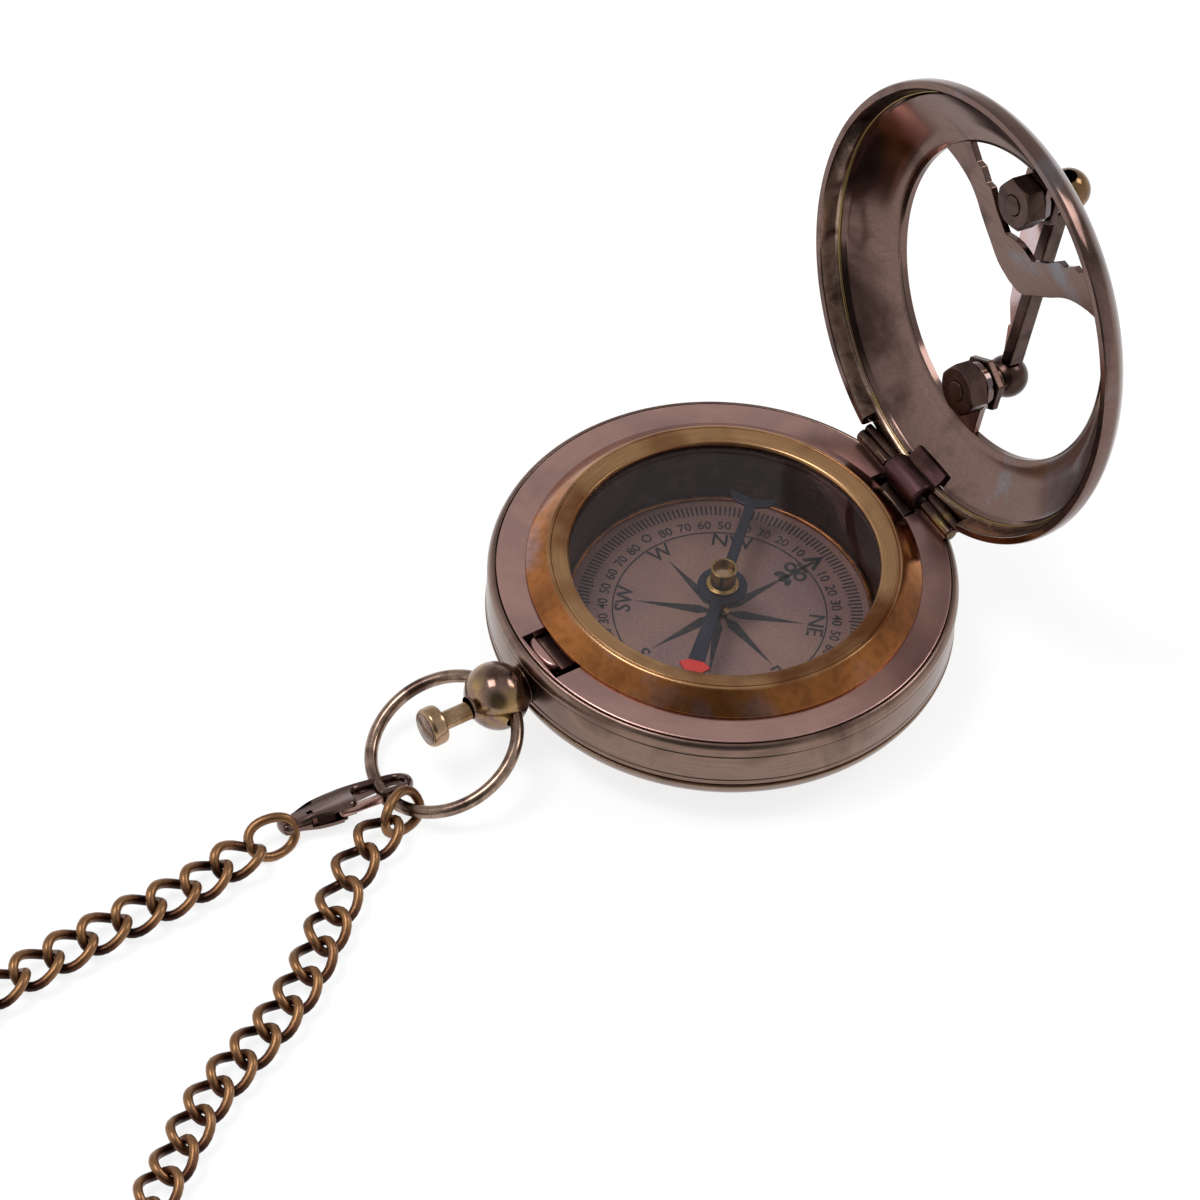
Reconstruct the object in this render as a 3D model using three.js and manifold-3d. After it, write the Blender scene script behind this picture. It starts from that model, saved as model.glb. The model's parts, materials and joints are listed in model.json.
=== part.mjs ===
import * as THREE from "three";
import { mergeVertices } from "three/addons/utils/BufferGeometryUtils.js";
import Module from "manifold-3d";

// Sundial compass. Millimetres, +Z up, origin at the middle of the case's flat foot.
// +Y points to the lid's hinge, -Y to the push button, and the lid stands open.

// Case
const CASE_RADIUS = 24.87;
const FOOT_RADIUS = 15;
const BACK_HEIGHT = 5.4;
const BACK_WALL = 0.9;
const PLATE_TOP = 11.5;
const PLATE_THICKNESS = 1;
const PLATE_INSET = 0.87;
const PLATE_HOLE_GAP = 0.35;
const BAND_WALL = 0.75;
const SHOULDER_HEIGHT = 1;
const LEDGE_WIDTH = 0.9;
const LEDGE_THICKNESS = 0.8;
const SPIGOT_WALL = 0.7;
const SPIGOT_HEIGHT = 1.5;
const LATCH_SLOT_HALF_WIDTH = 3.2;
const LATCH_SLOT_MARGIN = 0.45;
const LATCH_SLOT_LENGTH = 4.15;
const HINGE_SLOT_HALF_WIDTH = 3.3;
const HINGE_SLOT_LENGTH = 3.4;

// Compass
const CUP_INSET = 8.32;
const CUP_WALL = 0.5;
const CUP_FLANGE_WIDTH = 1.2;
const CUP_FLANGE_THICKNESS = 0.5;
const DIAL_TOP = 4.8;
const DIAL_THICKNESS = 0.6;
const DIAL_GAP = 0.35;
const DIAL_RING_WIDTH = 0.55;
const DIAL_RING_HEIGHT = 0.45;
const BEZEL_FOOT_WIDTH = 2.68;
const BEZEL_TOP_WIDTH = 2.32;
const BEZEL_HEIGHT = 2.25;
const BEZEL_LIP = 0.14;
const GLASS_LAP = 0.4;
const GLASS_THICKNESS = 0.6;
const GASKET_THICKNESS = 0.3;
const NEEDLE_HEIGHT = 3.9;
const NEEDLE_THICKNESS = 0.4;
const NEEDLE_HALF_LENGTH = 13.2;
const NEEDLE_WIDTH = 1.7;
const NEEDLE_HUB_RADIUS = 2.5;
const NEEDLE_ANGLE = -44;
const CAP_RADIUS = 1.45;
const CAP_HEIGHT = 2.5;
const CAP_BORE_RADIUS = 0.75;
const PIVOT_RADIUS = 0.45;

// Hinge and lid
const HINGE_INSET = 0.87;
const HINGE_RISE = 1.3;
const OPEN_ANGLE = 99.8;
const BARREL_RADIUS = 1.15;
const BARREL_INNER_X = 3.3;
const BARREL_OUTER_X = 8.5;
const LID_BARREL_RADIUS = 1.5;
const LID_BARREL_HALF_LENGTH = 2.9;
const HINGE_PIN_RADIUS = 0.5;
const LID_INSET = 0.01;
const LID_HEIGHT = 6.6;
const LID_WALL = 0.9;
const LID_LIP_GAP = 0.25;
const LID_OPENING_RADIUS = 17.1;
const LID_NOTCH_HALF_WIDTH = 9.2;
const RIM_WALL = 0.7;
const RIM_HEIGHT = 2;
const CATCH_HALF_WIDTH = 1.6;
const CATCH_DROP = 1.1;
const TAB_HALF_WIDTH = 1.9;
const BOSS_RADIUS = 2.5;

// Sundial posts and gnomon
const UPPER_POST_INSET = 3.07;
const LOWER_POST_INSET = 6.05;
const STUD_RADIUS = 1.05;
const NUT_ACROSS_FLATS = 5;
const NUT_THICKNESS = 2.2;
const JAM_NUT_ACROSS_FLATS = 5.4;
const JAM_NUT_THICKNESS = 0.8;
const POST_FLANGE_RADIUS = 2.2;
const BALL_RADIUS = 2.05;
const BALL_RISE = 3.4;
const GNOMON_THICKNESS = 1.9;
const GNOMON_PIN_RADIUS = 0.7;
const GNOMON_WIDTH = 4.6;

// Pendant, push button, latch and bail
const PENDANT_REACH = 3.13;
const PENDANT_Z = 7;
const PENDANT_RADIUS = 3.4;
const COLLAR_RADIUS = 2.95;
const STEM_RADIUS = 1;
const STEM_BORE_RADIUS = 1.25;
const BUTTON_RADIUS = 2.13;
const BUTTON_LENGTH = 1.8;
const BUTTON_REACH = 7.7;
const BUTTON_TRAVEL = 1.2;
const LATCH_HALF_WIDTH = 2.4;
const LATCH_SETBACK = 1.92;
const LATCH_LEAF_ROOT = 1.3;
const LATCH_LEAF_INSET = 0.5;
const LATCH_LEAF_ANGLE = -49;
const LATCH_LEAF_THICKNESS = 0.4;
const BAIL_RADIUS = 8.1;
const BAIL_WIRE_RADIUS = 0.65;
const BAIL_TILT = 17.8;
const BAIL_SOCKET_RADIUS = 0.95;

// Clasp and chain
const CLASP_SEAT = 1.85;
const CLASP_THICKNESS = 2;
const CLASP_LEAN = -20;
const CLASP_HOOK = 1.75;
const TAIL_THICKNESS = 0.8;
const GATE_THICKNESS = 0.7;
const GATE_PIN_RADIUS = 0.3;
const CLASP_RING_RADIUS = 1.25;
const CLASP_RING_WIRE = 0.33;
const END_LINK_X = 3.6;
const END_LINK_RADIUS = 1.75;
const END_LINK_WIRE = 0.45;
const END_LINK_STRETCH = 1.3;
const END_LINK_LEAN = 35;
const CHAIN_DIAMETER = 3;
const CHAIN_HEIGHT = 1.55;
const COIL_CENTRE = [34.3, -131.7];
const COIL_RADIUS = 20.5;
const COIL_PITCH = 5.3;
const COIL_START = 180;
const COIL_SWEEP = 571;
const COIL_HEIGHT = 1.95;
const COIL_LAYER = 3.5;
const TIE_ANGLE = 250;
const TIE_WIDTH = 2;
const TIE_THICKNESS = 0.3;
const TIE_CORNER = 0.8;

const CLEARANCE = 0.3;
const FIT = 0.1;
const BIG_ROUND = 48;
const SMALL_ROUND = 16;

const wasm = await Module();
wasm.setup();

const rad = THREE.MathUtils.degToRad;
const plateRadius = CASE_RADIUS - PLATE_INSET;
const cupRadius = CASE_RADIUS - CUP_INSET;
const cupOuter = cupRadius + CUP_WALL;
const flangeRadius = cupOuter + CUP_FLANGE_WIDTH;
const plateHole = cupOuter + PLATE_HOLE_GAP;
const dialRadius = cupRadius - DIAL_GAP;
const glassRadius = cupRadius + GLASS_LAP;
const bezelBore = cupRadius - BEZEL_LIP;
const bezelTopRadius = bezelBore + BEZEL_TOP_WIDTH;
const bezelFootRadius = flangeRadius + BEZEL_FOOT_WIDTH;
const lidRadius = CASE_RADIUS - LID_INSET;
const upperPostY = UPPER_POST_INSET - LID_OPENING_RADIUS;
const lowerPostY = LID_OPENING_RADIUS - LOWER_POST_INSET;
const hingeY = CASE_RADIUS - HINGE_INSET;
const hingeZ = PLATE_TOP + HINGE_RISE;
const lipZ = PLATE_TOP + LID_LIP_GAP;
const pendantY = -CASE_RADIUS - PENDANT_REACH;
const buttonY = pendantY - BUTTON_REACH;
const hingeSlotInner = plateRadius - HINGE_SLOT_LENGTH;
const latchSlotOuter = plateRadius - LATCH_SLOT_MARGIN;

// Makes every triangle face outwards and welds the corners.
function weld(geometry) {
  const flat = geometry.index ? geometry.toNonIndexed() : geometry;
  const bare = new THREE.BufferGeometry();
  bare.setAttribute("position", flat.getAttribute("position"));
  const welded = mergeVertices(bare, 1e-4);
  const p = welded.getAttribute("position");
  const index = welded.index.array;
  const kept = [];
  let volume = 0;
  const a = new THREE.Vector3();
  const b = new THREE.Vector3();
  const c = new THREE.Vector3();
  for (let i = 0; i < index.length; i += 3) {
    const [i0, i1, i2] = [index[i], index[i + 1], index[i + 2]];
    if (i0 === i1 || i1 === i2 || i2 === i0) continue;
    a.fromBufferAttribute(p, i0);
    b.fromBufferAttribute(p, i1);
    c.fromBufferAttribute(p, i2);
    volume += a.dot(b.cross(c));
    kept.push([i0, i1, i2]);
  }
  const order = kept.map(([i0, i1, i2]) => (volume < 0 ? [i0, i2, i1] : [i0, i1, i2]));
  welded.setIndex(order.flat());
  return welded;
}

function solid(geometry) {
  const welded = weld(geometry);
  const vertProperties = new Float32Array(welded.getAttribute("position").array);
  const triVerts = new Uint32Array(welded.index.array);
  return new wasm.Manifold(new wasm.Mesh({ numProp: 3, vertProperties, triVerts }));
}

function surface(body) {
  const mesh = body.getMesh();
  const geometry = new THREE.BufferGeometry();
  geometry.setAttribute("position", new THREE.BufferAttribute(new Float32Array(mesh.vertProperties), 3));
  geometry.setIndex(new THREE.BufferAttribute(new Uint32Array(mesh.triVerts), 1));
  return geometry;
}

function join(first, ...others) {
  return surface(others.reduce((sum, other) => sum.add(solid(other)), solid(first)));
}

function cut(first, ...tools) {
  return surface(tools.reduce((left, tool) => left.subtract(solid(tool)), solid(first)));
}

// A turned piece about Z. Each profile point is [radius, height].
function turned(profile, segments = BIG_ROUND) {
  const points = profile.map(([r, z]) => new THREE.Vector2(r, z));
  const geometry = new THREE.LatheGeometry(points, segments);
  return geometry.rotateX(Math.PI / 2);
}

function ring(profile, segments = BIG_ROUND) {
  return turned([...profile, profile[0]], segments);
}

function box(x0, x1, y0, y1, z0, z1) {
  const geometry = new THREE.BoxGeometry(x1 - x0, y1 - y0, z1 - z0);
  return geometry.translate((x0 + x1) / 2, (y0 + y1) / 2, (z0 + z1) / 2);
}

function rod(radius, from, to, segments = SMALL_ROUND) {
  const start = new THREE.Vector3(...from);
  const end = new THREE.Vector3(...to);
  const along = end.clone().sub(start);
  const geometry = new THREE.CylinderGeometry(radius, radius, along.length(), segments);
  const turn = new THREE.Quaternion();
  turn.setFromUnitVectors(new THREE.Vector3(0, 1, 0), along.clone().normalize());
  geometry.applyQuaternion(turn);
  const middle = start.add(end).multiplyScalar(0.5);
  return geometry.translate(middle.x, middle.y, middle.z);
}

function outline(points) {
  return new THREE.Shape(points.map(([x, y]) => new THREE.Vector2(x, y)));
}

function slab(shape, z0, z1, curveSegments = 12) {
  const geometry = new THREE.ExtrudeGeometry(shape, { depth: z1 - z0, bevelEnabled: false, curveSegments });
  return geometry.translate(0, 0, z0);
}

function tube(curve, radius, steps, sides) {
  const section = new THREE.Shape();
  section.absarc(0, 0, radius, 0, 2 * Math.PI);
  const settings = { steps, extrudePath: curve, bevelEnabled: false, curveSegments: sides / 2 };
  return new THREE.ExtrudeGeometry(section, settings);
}

function hexagon(acrossFlats) {
  const corner = acrossFlats / Math.sqrt(3);
  const points = [];
  for (let i = 0; i < 6; i += 1) {
    const angle = rad(60 * i);
    points.push([corner * Math.cos(angle), corner * Math.sin(angle)]);
  }
  return outline(points);
}

// Case back: a shallow pan with a flat foot, its wall a quarter of an ellipse.
const bandInner = CASE_RADIUS - BAND_WALL;
const spigotOuter = bandInner - 1.5 * FIT;
const spigotInner = spigotOuter - SPIGOT_WALL;

function panCurve(radius, height, base, steps) {
  const points = [];
  const reach = radius - FOOT_RADIUS;
  for (let i = 0; i <= steps; i += 1) {
    const angle = rad((90 * i) / steps);
    points.push([FOOT_RADIUS + reach * Math.sin(angle), base + height * (1 - Math.cos(angle))]);
  }
  return points;
}

const stemBore = rod(STEM_BORE_RADIUS, [0, pendantY, PENDANT_Z], [0, -cupOuter, PENDANT_Z]);
const panInside = panCurve(spigotInner, BACK_HEIGHT - BACK_WALL, BACK_WALL, 3).reverse();
const caseBack = cut(
  turned([
    [0, 0],
    ...panCurve(CASE_RADIUS, BACK_HEIGHT, 0, 6),
    [spigotOuter, BACK_HEIGHT],
    [spigotOuter, BACK_HEIGHT + SPIGOT_HEIGHT],
    [spigotInner, BACK_HEIGHT + SPIGOT_HEIGHT],
    ...panInside,
    [0, BACK_WALL],
  ]),
  stemBore,
);

// Side band with a rounded shoulder and an inner ledge under the plate.
const plateSeat = plateRadius + FIT;
const ledgeTop = PLATE_TOP - PLATE_THICKNESS - 0.5 * FIT;
const shoulder = [];
for (let i = 0; i <= 4; i += 1) {
  const angle = rad((90 * i) / 4);
  shoulder.push([
    plateSeat + (CASE_RADIUS - plateSeat) * Math.cos(angle),
    PLATE_TOP - SHOULDER_HEIGHT * (1 - Math.sin(angle)),
  ]);
}
const hingeSlot = box(
  -HINGE_SLOT_HALF_WIDTH,
  HINGE_SLOT_HALF_WIDTH,
  hingeSlotInner,
  CASE_RADIUS + 1,
  PLATE_TOP - PLATE_THICKNESS - 0.6,
  PLATE_TOP + 1,
);
const caseBand = cut(
  ring([
    [CASE_RADIUS, BACK_HEIGHT + FIT],
    ...shoulder,
    [plateSeat, ledgeTop],
    [bandInner - LEDGE_WIDTH, ledgeTop],
    [bandInner - LEDGE_WIDTH, ledgeTop - LEDGE_THICKNESS],
    [bandInner, ledgeTop - LEDGE_THICKNESS],
    [bandInner, BACK_HEIGHT + FIT],
  ]),
  stemBore,
  hingeSlot,
);

const latchSlot = box(
  -LATCH_SLOT_HALF_WIDTH,
  LATCH_SLOT_HALF_WIDTH,
  -latchSlotOuter,
  LATCH_SLOT_LENGTH - latchSlotOuter,
  PLATE_TOP - PLATE_THICKNESS - 1,
  PLATE_TOP + 1,
);
const topPlate = cut(
  ring([
    [plateHole, PLATE_TOP - PLATE_THICKNESS],
    [plateRadius, PLATE_TOP - PLATE_THICKNESS],
    [plateRadius, PLATE_TOP],
    [plateHole, PLATE_TOP],
  ]),
  hingeSlot,
  latchSlot,
);

// Drawn cup that hangs on its flange, the dial in it and the bezel over it.
const cupFloor = DIAL_TOP - DIAL_THICKNESS - 0.5 * FIT;
const flangeTop = PLATE_TOP + CUP_FLANGE_THICKNESS;
const innerCup = turned(
  [
    [0, cupFloor - CUP_WALL],
    [cupOuter, cupFloor - CUP_WALL],
    [cupOuter, PLATE_TOP + 0.2 * FIT],
    [flangeRadius, PLATE_TOP + 0.2 * FIT],
    [flangeRadius, flangeTop],
    [cupRadius, flangeTop],
    [cupRadius, cupFloor],
    [0, cupFloor],
  ],
);
const dial = turned(
  [
    [0, DIAL_TOP - DIAL_THICKNESS],
    [dialRadius, DIAL_TOP - DIAL_THICKNESS],
    [dialRadius, DIAL_TOP],
    [0, DIAL_TOP],
  ],
);
const dialRingOuter = cupRadius - FIT;
const dialRing = ring([
  [dialRingOuter - DIAL_RING_WIDTH, DIAL_TOP + 0.3 * FIT],
  [dialRingOuter, DIAL_TOP + 0.3 * FIT],
  [dialRingOuter, DIAL_TOP + DIAL_RING_HEIGHT],
  [dialRingOuter - DIAL_RING_WIDTH, DIAL_TOP + DIAL_RING_HEIGHT],
]);

const gasketTop = flangeTop + 0.5 * FIT + GASKET_THICKNESS;
const glassTop = gasketTop + 0.5 * FIT + GLASS_THICKNESS;
const bezelTop = PLATE_TOP + BEZEL_HEIGHT;
const bezelFoot = PLATE_TOP + 0.2 * FIT;
const glassSeat = glassRadius + FIT;
const flangeSeat = flangeRadius + FIT;
const bezelSlope = (bezelFootRadius - bezelTopRadius) / BEZEL_HEIGHT;
const bezel = ring([
  [flangeSeat, bezelFoot],
  [bezelFootRadius, bezelFoot],
  [bezelFootRadius, bezelFoot + 0.25],
  [bezelTopRadius + 0.2 * bezelSlope, bezelTop - 0.25],
  [bezelTopRadius - 0.1, bezelTop],
  [bezelTopRadius - 0.55, bezelTop + 0.05],
  [bezelBore + 0.15, bezelTop - 0.25],
  [bezelBore, bezelTop - 0.45],
  [bezelBore, glassTop + 0.5 * FIT],
  [glassSeat, glassTop + 0.5 * FIT],
  [glassSeat, flangeTop + 0.5 * FIT],
  [flangeSeat, flangeTop + 0.5 * FIT],
]);
const glassRing = ring([
  [cupRadius, flangeTop + 0.5 * FIT],
  [glassRadius, flangeTop + 0.5 * FIT],
  [glassRadius, gasketTop],
  [cupRadius, gasketTop],
]);
const glass = turned([
  [0, gasketTop + 0.5 * FIT],
  [glassRadius, gasketTop + 0.5 * FIT],
  [glassRadius, glassTop],
  [0, glassTop],
]);

// Needle on its pin: a flat bar with a round middle, pointed at both ends.
const needleZ = DIAL_TOP + NEEDLE_HEIGHT;
const capFoot = needleZ + NEEDLE_THICKNESS + 0.5 * FIT;
const socketTop = capFoot + 0.62 * CAP_HEIGHT;
const pivotPin = turned(
  [
    [0, DIAL_TOP + 0.3 * FIT],
    [1, DIAL_TOP + 0.3 * FIT],
    [1, DIAL_TOP + 0.35],
    [PIVOT_RADIUS, DIAL_TOP + 0.5],
    [PIVOT_RADIUS, socketTop - 0.9],
    [0, socketTop - 0.15],
  ],
  SMALL_ROUND,
);
const needleHalf = NEEDLE_WIDTH / 2;
const needleBar = outline([
  [-NEEDLE_HALF_LENGTH, 0],
  [-NEEDLE_HALF_LENGTH + 1.6, -needleHalf],
  [NEEDLE_HALF_LENGTH - 1.6, -needleHalf],
  [NEEDLE_HALF_LENGTH, 0],
  [NEEDLE_HALF_LENGTH - 1.6, needleHalf],
  [-NEEDLE_HALF_LENGTH + 1.6, needleHalf],
]);
const needleTop = needleZ + NEEDLE_THICKNESS;
const needle = cut(
  join(slab(needleBar, needleZ, needleTop), rod(NEEDLE_HUB_RADIUS, [0, 0, needleZ], [0, 0, needleTop])),
  rod(CAP_BORE_RADIUS, [0, 0, needleZ - 1], [0, 0, needleTop + 1]),
).rotateZ(rad(NEEDLE_ANGLE));
const capTop = capFoot + CAP_HEIGHT;
const needleCap = ring(
  [
    [CAP_BORE_RADIUS, capFoot],
    [CAP_RADIUS + 0.3, capFoot],
    [CAP_RADIUS + 0.3, capFoot + 0.3],
    [CAP_RADIUS, capFoot + 0.4],
    [CAP_RADIUS - 0.05, capTop - 0.2],
    [CAP_RADIUS - 0.25, capTop],
    [CAP_RADIUS - 0.5, capTop],
    [CAP_RADIUS - 0.6, capTop - 0.3],
    [0, capTop - 0.3],
    [0, socketTop],
    [CAP_BORE_RADIUS, socketTop - 0.5],
  ],
  SMALL_ROUND,
);

// Hinge: two fixed knuckles with feet on the plate, a pin, and the lid's knuckle with its leaf.
const boreEnd = BARREL_OUTER_X + 1;
const hingeBore = rod(HINGE_PIN_RADIUS + 0.12, [-boreEnd, hingeY, hingeZ], [boreEnd, hingeY, hingeZ]);
const hingePin = rod(HINGE_PIN_RADIUS, [-BARREL_OUTER_X, hingeY, hingeZ], [BARREL_OUTER_X, hingeY, hingeZ]);

function caseKnuckle(side) {
  const x0 = Math.min(side * BARREL_INNER_X, side * BARREL_OUTER_X);
  const x1 = Math.max(side * BARREL_INNER_X, side * BARREL_OUTER_X);
  const barrel = rod(BARREL_RADIUS, [x0, hingeY, hingeZ], [x1, hingeY, hingeZ]);
  const foot = box(x0, x1, hingeY - BARREL_RADIUS, hingeY + 0.5, PLATE_TOP + 0.2 * FIT, hingeZ);
  return cut(join(barrel, foot), hingeBore);
}

const lidBarrel = rod(
  LID_BARREL_RADIUS,
  [-LID_BARREL_HALF_LENGTH, hingeY, hingeZ],
  [LID_BARREL_HALF_LENGTH, hingeY, hingeZ],
);
const leafSide = outline([
  [hingeY - 1.1, lipZ + 1.75],
  [hingeY - 0.7, lipZ + 2.25],
  [hingeY - 1.55, lipZ + 2.85],
  [hingeY - 3.9, lipZ + 4.1],
  [hingeY - 4.05, lipZ + 3.6],
  [hingeY - 1.75, lipZ + 2.45],
]);
const leaf = slab(leafSide, -LID_BARREL_HALF_LENGTH + 0.3, LID_BARREL_HALF_LENGTH - 0.3);
leaf.applyMatrix4(new THREE.Matrix4().makeBasis(
  new THREE.Vector3(0, 1, 0),
  new THREE.Vector3(0, 0, 1),
  new THREE.Vector3(1, 0, 0),
));
const lidKnuckle = cut(join(lidBarrel, leaf), hingeBore);

// Opening spring: a leaf under the plate that reaches into the hinge slot below the lid's knuckle.
const springTop = PLATE_TOP - PLATE_THICKNESS - FIT;
const lidSpringSide = outline([
  [hingeSlotInner - 2.6, springTop - 0.4],
  [hingeSlotInner + 0.6, springTop - 0.4],
  [hingeY - 1.2, springTop + 0.05],
  [hingeY - 1.3, springTop + 0.45],
  [hingeSlotInner + 0.4, springTop],
  [hingeSlotInner - 2.6, springTop],
]);
const lidSpring = slab(lidSpringSide, -HINGE_SLOT_HALF_WIDTH + 0.9, HINGE_SLOT_HALF_WIDTH - 0.9);
lidSpring.applyMatrix4(new THREE.Matrix4().makeBasis(
  new THREE.Vector3(0, 1, 0),
  new THREE.Vector3(0, 0, 1),
  new THREE.Vector3(1, 0, 0),
));

// Lid, drawn closed. Outline points are [inset from the rim, share of the height].
const lidOutline = [
  [0.15, 0],
  [0, 0.06],
  [0, 0.15],
  [0.12, 0.28],
  [0.66, 0.427],
  [1.13, 0.518],
  [1.56, 0.579],
  [2.9, 0.7],
  [4.4, 0.81],
  [5.9, 0.9],
  [lidRadius - LID_OPENING_RADIUS, 0.975],
].map(([inset, share]) => [lidRadius - inset, lipZ + LID_HEIGHT * share]);

function inwards(points, distance) {
  return points.map((point, i) => {
    const before = points[Math.max(i - 1, 0)];
    const after = points[Math.min(i + 1, points.length - 1)];
    const step = new THREE.Vector2(after[0] - before[0], after[1] - before[1]).normalize();
    return [point[0] - distance * step.y, point[1] + distance * step.x];
  });
}

const lidInside = inwards(lidOutline, LID_WALL).slice(2, -1);
const lidUnder = lipZ + LID_HEIGHT * 0.975 - LID_WALL;
const lidShell = ring([
  ...lidOutline,
  [LID_OPENING_RADIUS, lidUnder],
  ...lidInside.reverse(),
  [lidRadius - LID_WALL, lipZ],
]);

// Crossbar: a bow across the opening. Half outlines from its end to the noon line, in opening radii.
const inOpening = ([x, y]) => [x * LID_OPENING_RADIUS, y * LID_OPENING_RADIUS];
const bowLower = [
  [0.883, -0.556],
  [0.702, -0.538],
  [0.556, -0.497],
  [0.456, -0.439],
  [0.38, -0.374],
  [0.251, -0.281],
  [0.129, -0.199],
  [0, -0.178],
].map(inOpening);
const bowUpper = [
  [0, -0.477],
  [0.058, -0.471],
  [0.135, -0.45],
  [0.263, -0.538],
  [0.363, -0.635],
  [0.409, -0.632],
  [0.491, -0.699],
  [0.538, -0.696],
  [0.667, -0.801],
].map(inOpening);
const mirrored = (points) => points.map(([x, y]) => [-x, y]).reverse();
const bow = outline([...bowLower, ...mirrored(bowLower).slice(1), ...mirrored(bowUpper), ...bowUpper.slice(1)]);

function tab(postY) {
  const toRing = Math.sign(postY) * (LID_OPENING_RADIUS + 0.7);
  const strip = box(
    -TAB_HALF_WIDTH,
    TAB_HALF_WIDTH,
    Math.min(postY, toRing),
    Math.max(postY, toRing),
    lidUnder + 0.1,
    lidUnder + LID_WALL - 0.1,
  );
  const boss = rod(BOSS_RADIUS, [0, postY, lidUnder + 0.1], [0, postY, lidUnder + LID_WALL - 0.1]);
  return join(strip, boss);
}

const lidTop = lidUnder + LID_WALL;
const postBore = (postY) => rod(STUD_RADIUS + 0.2, [0, postY, lipZ], [0, postY, lidTop + 4]);
const notchTop = lipZ + 2.5;
const lidNotch = box(
  -LID_NOTCH_HALF_WIDTH,
  LID_NOTCH_HALF_WIDTH,
  hingeY - 1.6,
  hingeY + 3,
  lipZ - 1,
  notchTop,
);
const barrelRoom = rod(
  LID_BARREL_RADIUS + CLEARANCE,
  [-LID_BARREL_HALF_LENGTH - CLEARANCE, hingeY, hingeZ],
  [LID_BARREL_HALF_LENGTH + CLEARANCE, hingeY, hingeZ],
);
const lidDome = cut(
  join(lidShell, slab(bow, lidUnder + 0.05, lidTop - 0.05), tab(upperPostY), tab(lowerPostY)),
  postBore(upperPostY),
  postBore(lowerPostY),
  lidNotch,
  barrelRoom,
);

// Rim: a ring inside the lip with a bead on top and the catch at the latch side.
const rimOuter = lidRadius - LID_WALL - 2 * FIT;
const rimInner = rimOuter - RIM_WALL;
const rimTop = lipZ + RIM_HEIGHT;
const rimBody = ring([
  [rimInner, lipZ + FIT],
  [rimOuter, lipZ + FIT],
  [rimOuter, rimTop - 0.6],
  [rimOuter - 0.4, rimTop],
  [rimOuter - 0.85, rimTop + 0.3],
  [rimInner - 0.6, rimTop + 0.25],
  [rimInner - 0.65, rimTop - 0.05],
  [rimInner, rimTop - 0.3],
]);
const catchLug = box(
  -CATCH_HALF_WIDTH,
  CATCH_HALF_WIDTH,
  -rimInner - 0.2,
  -rimInner + 0.55,
  lipZ - CATCH_DROP,
  rimTop - 0.3,
);
const rimNotchLow = box(
  -LID_NOTCH_HALF_WIDTH,
  LID_NOTCH_HALF_WIDTH,
  hingeY - 4,
  hingeY + 3,
  lipZ - 1,
  rimTop - 0.2,
);
const rimNotchHigh = box(
  -LID_NOTCH_HALF_WIDTH,
  LID_NOTCH_HALF_WIDTH,
  hingeY - 1.25,
  hingeY + 3,
  lipZ - 1,
  notchTop + 0.5,
);
const leafNotch = box(
  -LID_BARREL_HALF_LENGTH - FIT,
  LID_BARREL_HALF_LENGTH + FIT,
  hingeY - 2.2,
  hingeY + 3,
  lipZ - 1,
  notchTop + 1,
);
const lidRim = cut(join(rimBody, catchLug), rimNotchLow, rimNotchHigh, leafNotch);

// Ball posts: a stud through the lid, clamped by a nut inside and a thin jam nut outside.
const nutTop = lidUnder - 0.1;
const jamFoot = lidTop + 0.05;
const jamTop = jamFoot + JAM_NUT_THICKNESS;
const ballZ = lidTop + BALL_RISE;

function post(postY) {
  const flangeTopZ = jamTop + 0.85;
  const profile = [
    [0, nutTop - NUT_THICKNESS],
    [STUD_RADIUS, nutTop - NUT_THICKNESS],
    [STUD_RADIUS, jamTop + 0.05],
    [POST_FLANGE_RADIUS, jamTop + 0.05],
    [POST_FLANGE_RADIUS, flangeTopZ],
  ];
  const from = Math.asin((flangeTopZ - ballZ) / BALL_RADIUS);
  for (let i = 0; i <= 6; i += 1) {
    const angle = from + ((Math.PI / 2 - from) * i) / 6;
    profile.push([i === 6 ? 0 : BALL_RADIUS * Math.cos(angle), ballZ + BALL_RADIUS * Math.sin(angle)]);
  }
  const body = turned(profile, SMALL_ROUND).translate(0, postY, 0);
  const bore = rod(GNOMON_PIN_RADIUS + 0.25, [0, postY - 3, ballZ], [0, postY + 3, ballZ], 16);
  return cut(body, bore);
}

const nutBore = rod(STUD_RADIUS + 0.15, [0, 0, lipZ], [0, 0, lidTop + 4]);

function nut(postY) {
  const block = slab(hexagon(NUT_ACROSS_FLATS), nutTop - NUT_THICKNESS, nutTop);
  return cut(block, nutBore).rotateZ(rad(30)).translate(0, postY, 0);
}

function jamNut(postY) {
  const block = slab(hexagon(JAM_NUT_ACROSS_FLATS), jamFoot, jamTop);
  return cut(block, nutBore).translate(0, postY, 0);
}

// Gnomon: a shaped blade folded flat between the balls, with a round pin at each end.
const bladeUpper = upperPostY + BALL_RADIUS + CLEARANCE;
const bladeLower = lowerPostY - BALL_RADIUS - CLEARANCE;
const bladeSpan = bladeLower - bladeUpper;
const bladeEdge = GNOMON_THICKNESS / 2;
const blade = outline(
  [
    [bladeEdge, 0],
    [bladeEdge, 1],
    [-0.55, 1],
    [-0.8, 0.95],
    [-1.3, 0.81],
    [-1.05, 0.79],
    [-2.1, 0.68],
    [-2.45, 0.57],
    [-3.7, 0.26],
    [-GNOMON_WIDTH, 0.03],
    [-GNOMON_WIDTH, 0],
  ].map(([x, share]) => [x, bladeUpper + bladeSpan * share]),
);
const bladeBody = slab(blade, ballZ - bladeEdge, ballZ + bladeEdge);
const upperPin = rod(GNOMON_PIN_RADIUS, [0, upperPostY + 0.3, ballZ], [0, bladeUpper + 0.5, ballZ], 16);
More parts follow.
